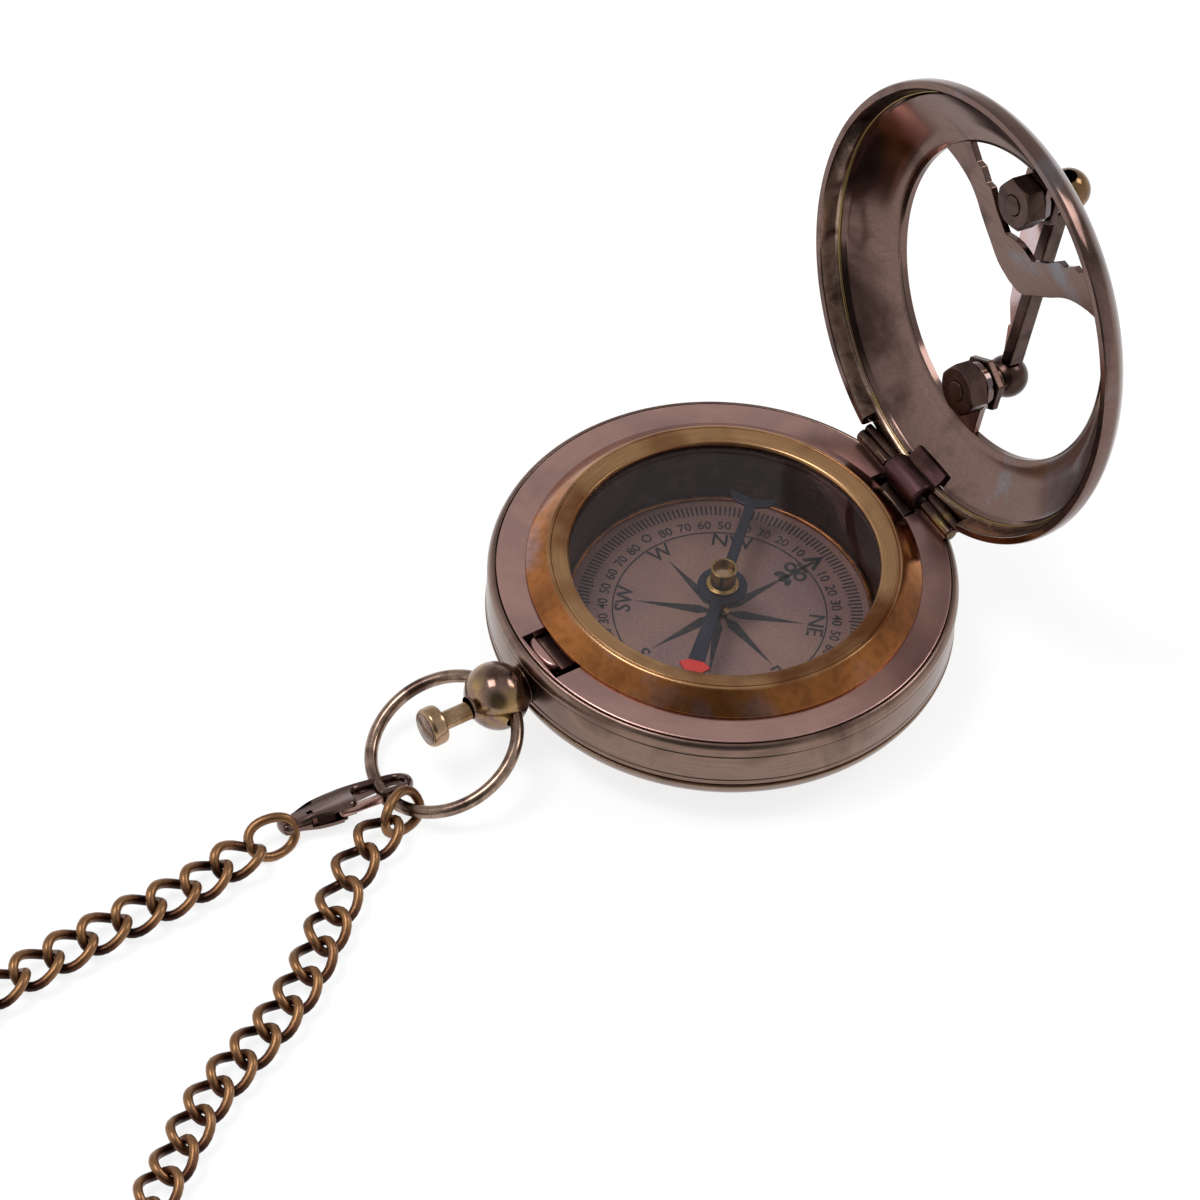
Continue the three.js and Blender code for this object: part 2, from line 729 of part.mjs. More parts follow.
const lowerPin = rod(GNOMON_PIN_RADIUS, [0, bladeLower - 0.5, ballZ], [0, lowerPostY - 0.3, ballZ], 16);
const gnomon = join(bladeBody, upperPin, lowerPin);

// Pendant: collar and ball, bored for the push stem and across for the bail.
const collarFoot = -pendantY - CASE_RADIUS - 0.15;
const pendantProfile = [
  [STEM_BORE_RADIUS, collarFoot],
  [COLLAR_RADIUS - 0.25, collarFoot],
  [COLLAR_RADIUS, collarFoot - 0.3],
  [COLLAR_RADIUS - 0.25, collarFoot - 0.75],
];
for (let i = 0; i <= 8; i += 1) {
  const angle = rad(46 - (115 * i) / 8);
  pendantProfile.push([PENDANT_RADIUS * Math.cos(angle), PENDANT_RADIUS * Math.sin(angle)]);
}
pendantProfile.push([STEM_BORE_RADIUS, -PENDANT_RADIUS - 0.05]);
const pendantBody = ring(pendantProfile, 24).rotateX(-Math.PI / 2).translate(0, pendantY, PENDANT_Z);
const bailSocket = rod(BAIL_SOCKET_RADIUS, [-6, pendantY, PENDANT_Z], [6, pendantY, PENDANT_Z]);
const pendant = cut(pendantBody, bailSocket);

// Push button: a round head on a stem whose inner flange meets the latch.
const buttonOuter = buttonY - BUTTON_LENGTH / 2;
const buttonInner = buttonY + BUTTON_LENGTH / 2;
const buttonHead = turned(
  [
    [0, 0],
    [BUTTON_RADIUS - 0.35, 0],
    [BUTTON_RADIUS, -0.3],
    [BUTTON_RADIUS, -BUTTON_LENGTH + 0.45],
    [BUTTON_RADIUS - 0.45, -BUTTON_LENGTH + 0.1],
    [0, -BUTTON_LENGTH],
  ],
  SMALL_ROUND + 8,
).rotateX(-Math.PI / 2).translate(0, buttonInner, PENDANT_Z);
const latchFace = LATCH_SETBACK - bandInner;
const flangeInner = latchFace - CLEARANCE;
const stem = [
  [0, 0],
  [STEM_RADIUS, 0],
  [STEM_RADIUS, flangeInner - 0.5 - buttonInner - FIT],
  [STEM_RADIUS + 0.7, flangeInner - 0.5 - buttonInner - FIT],
  [STEM_RADIUS + 0.7, flangeInner - buttonInner - FIT],
  [0, flangeInner - buttonInner - FIT],
].map(([r, y]) => [r, -y]);
const buttonStem = turned(stem, SMALL_ROUND).rotateX(Math.PI / 2).translate(0, buttonInner + FIT, PENDANT_Z);

// Latch: a block under the plate with a rounded tongue up in the slot, and a leaf spring beside it.
const latchTop = PLATE_TOP - PLATE_THICKNESS - 2 * FIT;
const tongueTop = PLATE_TOP - 0.3;
const tongueSide = outline([
  [latchFace + 0.1, latchTop - 0.5],
  [latchFace + 1.4, latchTop - 0.5],
  [latchFace + 1.4, tongueTop - 0.35],
  [latchFace + 1.1, tongueTop - 0.05],
  [latchFace + 0.75, tongueTop],
  [latchFace + 0.4, tongueTop - 0.1],
  [latchFace + 0.1, tongueTop - 0.45],
]);
const tongue = slab(tongueSide, FIT - LATCH_HALF_WIDTH, LATCH_HALF_WIDTH - FIT);
tongue.applyMatrix4(new THREE.Matrix4().makeBasis(
  new THREE.Vector3(0, 1, 0),
  new THREE.Vector3(0, 0, 1),
  new THREE.Vector3(1, 0, 0),
));
const latchBack = -cupOuter - CLEARANCE - BUTTON_TRAVEL;
const latchBlock = box(-LATCH_HALF_WIDTH, LATCH_HALF_WIDTH, latchFace, latchBack, PENDANT_Z - 1.2, latchTop);
const latch = join(latchBlock, tongue);
const leafEnd = new THREE.Vector2(bandInner - LATCH_LEAF_INSET, 0);
leafEnd.rotateAround(new THREE.Vector2(), rad(LATCH_LEAF_ANGLE));
const leafMiddle = new THREE.Vector2((LATCH_HALF_WIDTH + leafEnd.x) / 2, (latchFace + leafEnd.y) / 2);
const leafRoot = new THREE.Vector2(LATCH_HALF_WIDTH + CLEARANCE, latchFace + LATCH_LEAF_ROOT);
const latchSpringPlan = outline([
  [leafRoot.x, leafRoot.y],
  [leafMiddle.x, leafMiddle.y],
  [leafEnd.x, leafEnd.y],
  [leafEnd.x + 0.1, leafEnd.y - LATCH_LEAF_THICKNESS],
  [leafMiddle.x + 0.1, leafMiddle.y - LATCH_LEAF_THICKNESS],
  [leafRoot.x, leafRoot.y - LATCH_LEAF_THICKNESS],
]);
const latchSpring = slab(latchSpringPlan, PENDANT_Z + 0.6, PENDANT_Z + 2.3);

// Bail: a wire ring whose two ends turn into the sockets of the ball. Its plane slopes down.
const bailEndX = PENDANT_RADIUS - 0.1;
const bailCentre = Math.sqrt(BAIL_RADIUS ** 2 - bailEndX ** 2);
const bailTilt = rad(BAIL_TILT);
const onBail = (x, q) => new THREE.Vector3(
  x,
  pendantY - q * Math.cos(bailTilt),
  PENDANT_Z - q * Math.sin(bailTilt),
);
const bailPoints = [onBail(1.9, 0), onBail(2.6, 0)];
const bailGap = Math.asin(bailEndX / BAIL_RADIUS);
for (let i = 0; i <= 24; i += 1) {
  const angle = bailGap + ((2 * Math.PI - 2 * bailGap) * i) / 24;
  bailPoints.push(onBail(BAIL_RADIUS * Math.sin(angle), bailCentre - BAIL_RADIUS * Math.cos(angle)));
}
bailPoints.push(onBail(-2.6, 0), onBail(-1.9, 0));
const bailRing = tube(new THREE.CatmullRomCurve3(bailPoints), BAIL_WIRE_RADIUS, 44, 8);
const bailTip = onBail(0, bailCentre + BAIL_RADIUS);

// Lobster clasp in its own plane: s runs from the hook's end to the tail, w across it.
const claspFrame = new THREE.Matrix4().makeBasis(
  new THREE.Vector3(0, -1, 0),
  new THREE.Vector3(Math.sin(rad(CLASP_LEAN)), 0, Math.cos(rad(CLASP_LEAN))),
  new THREE.Vector3(-Math.cos(rad(CLASP_LEAN)), 0, Math.sin(rad(CLASP_LEAN))),
);
claspFrame.setPosition(0, bailTip.y + CLASP_SEAT, bailTip.z);
const CLASP_EYE_END = 6.1;
const GATE_PIVOT = [6.9, 0.95];
const CLASP_TAIL = 12.7;
const claspOutline = outline([
  [CLASP_TAIL + 0.95, -0.45],
  [CLASP_TAIL + 0.5, -0.9],
  [CLASP_TAIL - 0.7, -1],
  [8.4, -1.5],
  [6.4, -1.85],
  [4, -1.9],
  [2 - CLASP_HOOK, -1.75],
  [0.75 - CLASP_HOOK, -1.25],
  [0.1 - CLASP_HOOK, -0.45],
  [0.1 - CLASP_HOOK, 0.45],
  [0.75 - CLASP_HOOK, 1.25],
  [1.5 - CLASP_HOOK, 1.7],
  [2.3, 1.8],
  [2.3, 1.2],
  [1.3 - CLASP_HOOK, 1],
  [0.85 - CLASP_HOOK, 0.5],
  [0.85 - CLASP_HOOK, -0.5],
  [1.25 - CLASP_HOOK, -1.05],
  [2.4 - CLASP_HOOK, -1.2],
  [4.6, -1.2],
  [5.7, -0.85],
  [CLASP_EYE_END, 0],
  [CLASP_EYE_END, 0.9],
  [CLASP_EYE_END + 0.2, 1.7],
  [7.7, 1.75],
  [8.6, 1.35],
  [CLASP_TAIL - 0.7, 1],
  [CLASP_TAIL + 0.5, 0.9],
  [CLASP_TAIL + 0.95, 0.45],
]);
const halfClasp = CLASP_THICKNESS / 2;
const gateSlot = box(
  CLASP_EYE_END - 1,
  GATE_PIVOT[0] + 1.15,
  -0.15,
  3,
  -GATE_THICKNESS / 2 - 0.22,
  GATE_THICKNESS / 2 + 0.22,
);
const gatePinBore = rod(GATE_PIN_RADIUS + 0.12, [...GATE_PIVOT, -3], [...GATE_PIVOT, 3], 12);
const tailBore = rod(CLASP_RING_WIRE + 0.25, [CLASP_TAIL, 0, -3], [CLASP_TAIL, 0, 3], 12);
const tailTrim = [
  box(CLASP_TAIL - 1.1, CLASP_TAIL + 2, -3, 3, TAIL_THICKNESS / 2, 3),
  box(CLASP_TAIL - 1.1, CLASP_TAIL + 2, -3, 3, -3, -TAIL_THICKNESS / 2),
];
const claspPlate = slab(claspOutline, -halfClasp, halfClasp);
const claspBody = cut(claspPlate, gateSlot, gatePinBore, tailBore, ...tailTrim).applyMatrix4(claspFrame);
const claspPin = rod(GATE_PIN_RADIUS, [...GATE_PIVOT, -halfClasp], [...GATE_PIVOT, halfClasp], 12);
claspPin.applyMatrix4(claspFrame);
const gateOutline = outline([
  [2.65, 1.15],
  [5.2, 1.15],
  [6.2, 0.5],
  [6.9, 0.25],
  [7.5, 0.55],
  [7.6, 1.15],
  [7.3, 1.9],
  [7.6, 2.5],
  [7.1, 2.6],
  [6.4, 1.95],
  [4, 1.95],
  [2.65, 1.8],
]);
const gatePlate = slab(gateOutline, -GATE_THICKNESS / 2, GATE_THICKNESS / 2);
const claspGate = cut(gatePlate, gatePinBore).applyMatrix4(claspFrame);
const claspRing = new THREE.TorusGeometry(CLASP_RING_RADIUS, CLASP_RING_WIRE, 8, 18);
claspRing.rotateX(Math.PI / 2).translate(CLASP_TAIL + CLASP_RING_RADIUS, 0, 0).applyMatrix4(claspFrame);

// End link of the chain, hung on the bail beside the clasp.
const linkSeat = onBail(END_LINK_X, bailCentre + Math.sqrt(BAIL_RADIUS ** 2 - END_LINK_X ** 2));
const linkAlong = new THREE.Vector3(0.49, -0.85, -0.19).normalize();
const linkAcross = new THREE.Vector3(0.86, 0.485, 0.04);
linkAcross.addScaledVector(linkAlong, -linkAcross.dot(linkAlong)).normalize();
linkAcross.applyAxisAngle(linkAlong, rad(END_LINK_LEAN));
const linkUp = new THREE.Vector3().crossVectors(linkAcross, linkAlong);
const linkCentre = linkSeat.clone().addScaledVector(linkAlong, 0.5).addScaledVector(linkUp, -0.28);
const endLink = new THREE.TorusGeometry(END_LINK_RADIUS, END_LINK_WIRE, 8, 20);
endLink.scale(END_LINK_STRETCH, 1, 1);
endLink.applyMatrix4(new THREE.Matrix4().makeBasis(linkAlong, linkUp, linkAcross).setPosition(linkCentre));

// Chain: two stretches on the table and the put-away rest in a two-layer coil that spirals in and out.
const coilRadius = (u) => COIL_RADIUS - (COIL_PITCH * Math.min(u, COIL_SWEEP - u)) / 360;
const coilRise = (u) => THREE.MathUtils.smoothstep(u, COIL_SWEEP / 2 - 90, COIL_SWEEP / 2 + 90);

function onCoil(u) {
  const angle = rad(COIL_START + u);
  const radius = coilRadius(u);
  return new THREE.Vector3(
    COIL_CENTRE[0] + radius * Math.cos(angle),
    COIL_CENTRE[1] + radius * Math.sin(angle),
    COIL_HEIGHT + COIL_LAYER * coilRise(u),
  );
}

const coilIn = onCoil(0);
const coilOut = onCoil(COIL_SWEEP);
const headIn = new THREE.Vector3(0, -1, 0);
const exitAngle = rad(COIL_START + COIL_SWEEP);
const headOut = new THREE.Vector3(-Math.sin(exitAngle), Math.cos(exitAngle), 0);
const coilSteps = Math.round((COIL_SWEEP / 360) * 24);
const coilPoints = [coilIn.clone().addScaledVector(headIn, -CHAIN_DIAMETER)];
for (let i = 0; i <= coilSteps; i += 1) {
  coilPoints.push(onCoil((COIL_SWEEP * i) / coilSteps));
}
coilPoints.push(coilOut.clone().addScaledVector(headOut, CHAIN_DIAMETER));
const coilCurve = new THREE.CatmullRomCurve3(coilPoints);
const chainCoil = tube(coilCurve, CHAIN_DIAMETER / 2, coilPoints.length - 1, 6);

let leastGap = Infinity;
const gapPoints = coilCurve.getSpacedPoints(240);
const apart = Math.ceil(240 / (coilCurve.getLength() / (3 * CHAIN_DIAMETER)));
gapPoints.forEach((p, i) => {
  gapPoints.slice(i + apart).forEach((q) => {
    leastGap = Math.min(leastGap, p.distanceTo(q) - CHAIN_DIAMETER);
  });
});
console.log(`chain coil: least gap to itself ${leastGap.toFixed(2)} mm, length ${coilCurve.getLength().toFixed(0)} mm`);

const onTable = (points) => points.map(([x, y]) => new THREE.Vector3(x, y, CHAIN_HEIGHT));
const claspEnd = CLASP_TAIL + 2 * CLASP_RING_RADIUS + CLASP_RING_WIRE + CLEARANCE;
const upperStart = new THREE.Vector3(claspEnd, 0, 0).applyMatrix4(claspFrame);
const upperPoints = [
  upperStart,
  upperStart.clone().add(new THREE.Vector3(0.1, -2.4, -0.6)),
  ...onTable([
    [0.7, -61.2],
    [2.1, -66],
    [2.95, -75.8],
    [3.75, -85.7],
    [4.7, -93],
    [7.4, -101],
    [11.5, -109],
  ]),
  coilIn.clone().addScaledVector(headIn, -3 * CHAIN_DIAMETER),
  coilIn.clone().addScaledVector(headIn, -CHAIN_DIAMETER - CLEARANCE),
];
const upperCurve = new THREE.CatmullRomCurve3(upperPoints);
const chainUpperRun = tube(upperCurve, CHAIN_DIAMETER / 2, 16, 8);

const linkReach = (END_LINK_RADIUS + END_LINK_WIRE) * END_LINK_STRETCH + CLEARANCE;
const lowerStart = linkCentre.clone().addScaledVector(linkAlong, linkReach);
const lowerPoints = [
  lowerStart,
  lowerStart.clone().addScaledVector(linkAlong, 1.4),
  ...onTable([
    [9.3, -50.5],
    [15.1, -57.7],
    [19.1, -62.9],
    [22.2, -68.2],
    [26.7, -78.4],
    [31.2, -85.4],
    [35, -90.6],
    [39.9, -98.5],
  ]),
  coilOut.clone().addScaledVector(headOut, 3.4 * CHAIN_DIAMETER).setZ(COIL_HEIGHT + 0.72 * COIL_LAYER),
  coilOut.clone().addScaledVector(headOut, CHAIN_DIAMETER + CLEARANCE),
];
const lowerCurve = new THREE.CatmullRomCurve3(lowerPoints);
const chainLowerRun = tube(lowerCurve, CHAIN_DIAMETER / 2, 22, 8);
const chainLength = coilCurve.getLength() + upperCurve.getLength() + lowerCurve.getLength();
console.log(`chain: whole length ${chainLength.toFixed(0)} mm`);

// Tie: a flat band round the coil's strands at one place.
const tieTurn = TIE_ANGLE - COIL_START;
const tiedStrands = [coilRadius(tieTurn), coilRadius(tieTurn + 360)];
const tieInner = Math.min(...tiedStrands) - CHAIN_DIAMETER / 2 - CLEARANCE;
const tieOuter = Math.max(...tiedStrands) + CHAIN_DIAMETER / 2 + CLEARANCE;
const tieTop = COIL_HEIGHT + COIL_LAYER + CHAIN_DIAMETER / 2 + CLEARANCE;
const band = (grow) => [
  [tieInner - grow, TIE_THICKNESS + 0.02 - grow],
  [tieOuter + grow, TIE_THICKNESS + 0.02 - grow],
  [tieOuter + grow, tieTop - TIE_CORNER],
  [tieOuter - TIE_CORNER + grow, tieTop + grow],
  [tieInner + TIE_CORNER - grow, tieTop + grow],
  [tieInner - grow, tieTop - TIE_CORNER],
];
const tieBlock = slab(outline(band(TIE_THICKNESS)), -TIE_WIDTH / 2, TIE_WIDTH / 2);
const chainTie = cut(tieBlock, slab(outline(band(0)), -TIE_WIDTH, TIE_WIDTH));
chainTie.rotateX(Math.PI / 2).rotateZ(rad(TIE_ANGLE)).translate(COIL_CENTRE[0], COIL_CENTRE[1], 0);

// Colours of the real metals and the group of all pieces.
const PLATE_COLOUR = "#9c7f74";
const BAND_COLOUR = "#7d6660";
const BRASS_COLOUR = "#b98f55";
const LID_COLOUR = "#6b5450";
const BRONZE_COLOUR = "#8a6a48";
const DARK_COLOUR = "#4a3a34";
const part = new THREE.Group();
part.name = "sundial_compass";

function add(name, geometry, colour, metalness = 0.8, turn = null) {
  const body = surface(solid(turn ? geometry.clone().applyMatrix4(turn) : geometry));
  body.computeVertexNormals();
  const material = new THREE.MeshStandardMaterial({ color: colour, metalness, roughness: 0.45 });
  material.name = `${name}_material`;
  const mesh = new THREE.Mesh(body, material);
  mesh.name = name;
  part.add(mesh);
}

const open = new THREE.Matrix4().makeTranslation(0, hingeY, hingeZ);
open.multiply(new THREE.Matrix4().makeRotationX(-rad(OPEN_ANGLE)));
open.multiply(new THREE.Matrix4().makeTranslation(0, -hingeY, -hingeZ));

add("case_back", caseBack, BAND_COLOUR);
add("case_band", caseBand, BAND_COLOUR);
add("top_plate", topPlate, PLATE_COLOUR);
add("inner_cup", innerCup, DARK_COLOUR);
add("dial", dial, "#a58c84", 0.2);
add("dial_ring", dialRing, "#a4553a");
add("pivot_pin", pivotPin, BRASS_COLOUR);
add("bezel", bezel, BRASS_COLOUR);
add("glass_ring", glassRing, DARK_COLOUR, 0);
add("glass", glass, "#dfe6e6", 0);
add("needle", needle, "#2d3038", 0.5);
add("needle_cap", needleCap, BRASS_COLOUR);
add("hinge_knuckle_left", caseKnuckle(-1), BRONZE_COLOUR);
add("hinge_knuckle_right", caseKnuckle(1), BRONZE_COLOUR);
add("hinge_pin", hingePin, DARK_COLOUR);
add("lid_spring", lidSpring, DARK_COLOUR);
add("lid_dome", lidDome, LID_COLOUR, 0.8, open);
add("lid_rim", lidRim, BRASS_COLOUR, 0.8, open);
add("lid_knuckle", lidKnuckle, DARK_COLOUR, 0.8, open);
add("upper_post", post(upperPostY), BRONZE_COLOUR, 0.8, open);
add("lower_post", post(lowerPostY), BRONZE_COLOUR, 0.8, open);
add("upper_nut", nut(upperPostY), DARK_COLOUR, 0.8, open);
add("lower_nut", nut(lowerPostY), DARK_COLOUR, 0.8, open);
add("upper_jam_nut", jamNut(upperPostY), BRONZE_COLOUR, 0.8, open);
add("lower_jam_nut", jamNut(lowerPostY), BRONZE_COLOUR, 0.8, open);
add("gnomon", gnomon, LID_COLOUR, 0.8, open);
add("pendant", pendant, BRONZE_COLOUR);
add("button_head", buttonHead, BRASS_COLOUR);
add("button_stem", buttonStem, BRASS_COLOUR);
add("latch", latch, BRONZE_COLOUR);
add("latch_spring", latchSpring, DARK_COLOUR);
add("bail_ring", bailRing, BRONZE_COLOUR);
add("clasp_body", claspBody, BRONZE_COLOUR);
add("clasp_gate", claspGate, BRONZE_COLOUR);
add("clasp_pin", claspPin, DARK_COLOUR);
add("clasp_ring", claspRing, BRONZE_COLOUR);
add("end_link", endLink, BRONZE_COLOUR);
add("chain_upper_run", chainUpperRun, BRONZE_COLOUR);
add("chain_coil", chainCoil, BRONZE_COLOUR);
add("chain_lower_run", chainLowerRun, BRONZE_COLOUR);
add("chain_tie", chainTie, DARK_COLOUR, 0);

export default part;
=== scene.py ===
"""Sundial compass: a pocket compass in antique bronze with a pierced lid, gnomon, bail ring and fob chain."""

import json
import math

import bmesh
import bpy
import numpy as np
from mathutils import Matrix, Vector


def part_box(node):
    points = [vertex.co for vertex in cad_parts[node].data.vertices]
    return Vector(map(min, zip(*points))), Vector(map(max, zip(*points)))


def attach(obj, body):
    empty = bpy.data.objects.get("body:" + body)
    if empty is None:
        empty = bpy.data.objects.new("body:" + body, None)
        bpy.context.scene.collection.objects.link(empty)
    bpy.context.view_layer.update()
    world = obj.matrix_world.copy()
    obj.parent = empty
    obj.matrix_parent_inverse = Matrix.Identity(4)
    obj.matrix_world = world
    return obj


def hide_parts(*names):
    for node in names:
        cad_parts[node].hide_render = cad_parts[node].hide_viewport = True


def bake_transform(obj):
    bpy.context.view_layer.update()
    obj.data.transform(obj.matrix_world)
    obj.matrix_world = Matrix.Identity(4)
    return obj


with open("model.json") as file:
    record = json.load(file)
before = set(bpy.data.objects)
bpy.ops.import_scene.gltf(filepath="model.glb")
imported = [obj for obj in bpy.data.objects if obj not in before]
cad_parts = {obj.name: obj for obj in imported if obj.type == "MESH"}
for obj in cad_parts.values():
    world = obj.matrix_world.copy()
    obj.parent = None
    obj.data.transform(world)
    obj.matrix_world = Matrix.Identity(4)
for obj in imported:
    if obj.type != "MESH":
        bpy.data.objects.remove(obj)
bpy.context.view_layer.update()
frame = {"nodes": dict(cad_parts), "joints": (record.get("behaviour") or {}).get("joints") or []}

bl_info = {
    "name": "Sundial compass",
    "version": (1, 0, 0),
    "blender": (4, 5, 0),
    "location": "3D View > Sidebar > Compass",
    "description": "Builds the visible surfaces of a sundial compass around its packed solids",
    "category": "Object",
}

MM = 0.001
JOINTS = {joint["name"]: joint for joint in frame["joints"]}


def extent(node):
    """Lowest and highest corner of a solid, in millimetres."""
    low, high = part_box(node)
    return np.array(low) / MM, np.array(high) / MM


def heights(node):
    """Foot and top of a solid, in millimetres."""
    low, high = extent(node)
    return low[2], high[2]


def reach_x(node):
    """How far a solid reaches along +X, the radius of a turned one, in millimetres."""
    return extent(node)[1][0]


def pivot(joint):
    """Point on a joint's axis, in millimetres."""
    return np.array(JOINTS[joint]["pos_m"]) / MM


# Case, compass and bezel. Sizes here and below are in millimetres, from the frame where a solid gives them
CASE_RADIUS = reach_x("case_band")
BACK_HEIGHT = heights("case_band")[0] - 0.1
FOOT_RADIUS = 15.0
PLATE_FOOT, PLATE_TOP = heights("top_plate")
PLATE_RADIUS = reach_x("top_plate")
PLATE_HOLE = 17.4
LATCH_SLOT = (-2.6, 4.0, -23.55, -19.4)
HINGE_SLOT = (-3.3, 3.3, 20.6, 26.0)
CUP_RADIUS = 16.55
CUP_FLANGE = reach_x("inner_cup")
DIAL_FOOT, DIAL_TOP = heights("dial")
DIAL_RADIUS = reach_x("dial")
BEZEL_FOOT, BEZEL_TOP = heights("bezel")
BEZEL_FOOT_RADIUS = reach_x("bezel")
BEZEL_TOP_RADIUS = 18.73
BEZEL_BORE = 16.41
GLASS_FOOT, GLASS_TOP = heights("glass")
GLASS_RADIUS = reach_x("glass")
NEEDLE_FOOT, NEEDLE_TOP = heights("needle")
RED_FROM = 11.15
CAP_FOOT, CAP_TOP = heights("needle_cap")

# Hinge and lid, the lid drawn shut
HINGE = pivot("lid_hinge")
OPEN_ANGLE = JOINTS["lid_hinge"]["range_deg"][1]
BARREL_RADIUS = 0.78
BARREL_ENDS = (3.3, 8.5)
LID_BARREL_RADIUS = 1.65
LID_BARREL_HALF = reach_x("lid_knuckle")
LIP = PLATE_TOP + 0.25
LID_RADIUS = reach_x("lid_dome")
LID_HEIGHT = 6.6
LID_WALL = 0.9
LID_OPENING = 17.1
LID_TOP = LIP + 0.975 * LID_HEIGHT
LID_UNDER = LID_TOP - LID_WALL
LID_SHIFT = (0.15, 0, -0.25)
NOTCH_HALF = 8.8
NOTCH_TOP = LIP + 1.45

# Sundial on the lid: its posts' places, how far their balls stand out, its nuts and gnomon
UPPER_POST = -14.03
LOWER_POST = 11.85
UPPER_LIFT = 0.7
LOWER_LIFT = 0.1
STUD_RADIUS = 1.05
NUT_FLATS = 5.0
NUT_THICKNESS = 2.2
JAM_FLATS = 5.4
JAM_THICKNESS = 0.8
BALL_RADIUS = 2.05
BALL_Z = LID_TOP + 3.4
GNOMON_HALF = 0.95
GNOMON_WIDTH = 4.6

# Pendant, button, bail and clasp
PENDANT = pivot("bail_swing")
PENDANT_RADIUS = reach_x("pendant")
PENDANT_SHIFT = (0, -0.05, 0.35)
BUTTON_Y = extent("button_head")[0][1]
BUTTON_RADIUS = reach_x("button_head")
BAIL_RADIUS = 8.1
BAIL_TILT = 23.8
BAIL_ROLL = -5.1
BAIL_YAW = 3.8
BAIL_SEAT = PENDANT + (0.2, 0.05, 0.25)
CLASP_PLACE = (1.0, -40.6, 1.45)
CLASP_LEAN = math.radians(65)
CLASP_YAW = math.radians(-4)
CLASP_HOOK = 1.75
CLASP_TAIL = 12.7

# Chain: its coil, the straight lead into it and out of it, and the tie
COIL_CENTRE = (34.3, -131.7)
COIL_RADIUS = 20.5
COIL_PITCH = 5.3
COIL_START = 180
COIL_SWEEP = 571
COIL_HEIGHT = 1.95
COIL_LAYER = 3.5
COIL_LEAD = 9
COIL_TRAIL = 10.2
TRAIL_LIFT = 0.72
TIE_ANGLE = 250
CHAIN_HEIGHT = 1.55
CHAIN_SHIFT = (0.25, -0.19, 0.5)

# Links along the chain's path: where they start and end, how far they slip along it, twist and roll in degrees
LINKLESS = 5.6
FIRST_LINK = 3.75
LAST_LINK = 1.3
UPPER_SLIP = 0.25
LOWER_SLIP = 1.15
LINK_TWIST = 42
LINK_ROLL = 5
RING_SHIFT = (0.75, -0.2, 0.15)
UPPER_EXIT = (1.75, -0.4, 0.1)
END_LINK_X = 3.35
END_LINK_SHIFT = (-0.25, 0.35, 0.25)
END_LINK_ROLL = 62
LOWER_EXIT = 3.66

# Route of the chain's two stretches, in metres
UPPER_ROUTE = (
    (0.0007, -0.0612), (0.0021, -0.066), (0.00295, -0.0758), (0.00375, -0.0857), (0.0047, -0.093),
    (0.0074, -0.101), (0.0115, -0.109),
)
LOWER_ROUTE = (
    (0.0093, -0.0505), (0.0151, -0.0577), (0.0191, -0.0629), (0.0222, -0.0682), (0.0267, -0.0784),
    (0.0312, -0.0854), (0.035, -0.0906), (0.0399, -0.0985),
)

# Drift of each stretch, in millimetres: places along -Y, the amount at each and its direction
UPPER_DRIFT = ((58, 66, 76), (1.6, 0.4, -0.3), (0.6, -0.25))
LOWER_DRIFT = ((50, 60, 68, 80, 88, 96), (-1, -0.45, -0.4, 0.05, 0.8, -0.3), (0.58, 0.3))

# Point that the lamps face, in metres
LAMP_TARGET = (0, -0.01, 0.01)

# Camera of the photograph: place in millimetres and its right, up and back directions
CAMERA_PLACE = (450.478, -344.977, 631.925)
CAMERA_RIGHT = (0.53938639, 0.84028668, 0.05459501)
CAMERA_UP = (-0.64462462, 0.37033539, 0.66881297)
CAMERA_BACK = (0.54177617, -0.3959419, 0.74142335)
CAMERA_LENS = 240
CAMERA_SENSOR = 36


def linear(text):
    """Linear RGB of an sRGB hex colour."""
    parts = np.array([int(text[i:i + 2], 16) for i in (1, 3, 5)]) / 255
    bright = ((parts + 0.055) / 1.055) ** 2.4
    return tuple(float(v) for v in np.where(parts <= 0.04045, parts / 12.92, bright))


def colour(name, text, words):
    """Colour property with an sRGB hex default."""
    return bpy.props.FloatVectorProperty(name=name, description=words, subtype="COLOR", default=linear(text))


def amount(name, value, words, **settings):
    """Number property."""
    return bpy.props.FloatProperty(name=name, description=words, default=value, **settings)


def length(name, value, words):
    """Length property with a default in millimetres."""
    return amount(name, value * MM, words, unit="LENGTH")


class CompassSizes(bpy.types.PropertyGroup):
    """Sizes of the fine detail."""

    link_wire: length("Link wire", 1.05, "Thickness of a chain link's wire")
    link_width: length("Link width", 4.95, "Outer width of a chain link")
    link_pitch: length("Link pitch", 4.2, "Distance from one chain link to the next")
    bail_wire: length("Bail wire", 1.4, "Thickness of the bail ring's wire")
    letter_height: length("Letter height", 1.75, "Height of the compass points' letters")
    number_height: length("Number height", 1.1, "Height of the degree numbers")
    dial_turn: amount("Dial turn", math.radians(4.5), "Turn of north from the hinge", subtype="ANGLE")
    needle_turn: amount("Needle turn", math.radians(-47.5), "Direction of the red end", subtype="ANGLE")
    tick_degrees: amount("Tick step", 2.0, "Degrees between the dial's ticks")


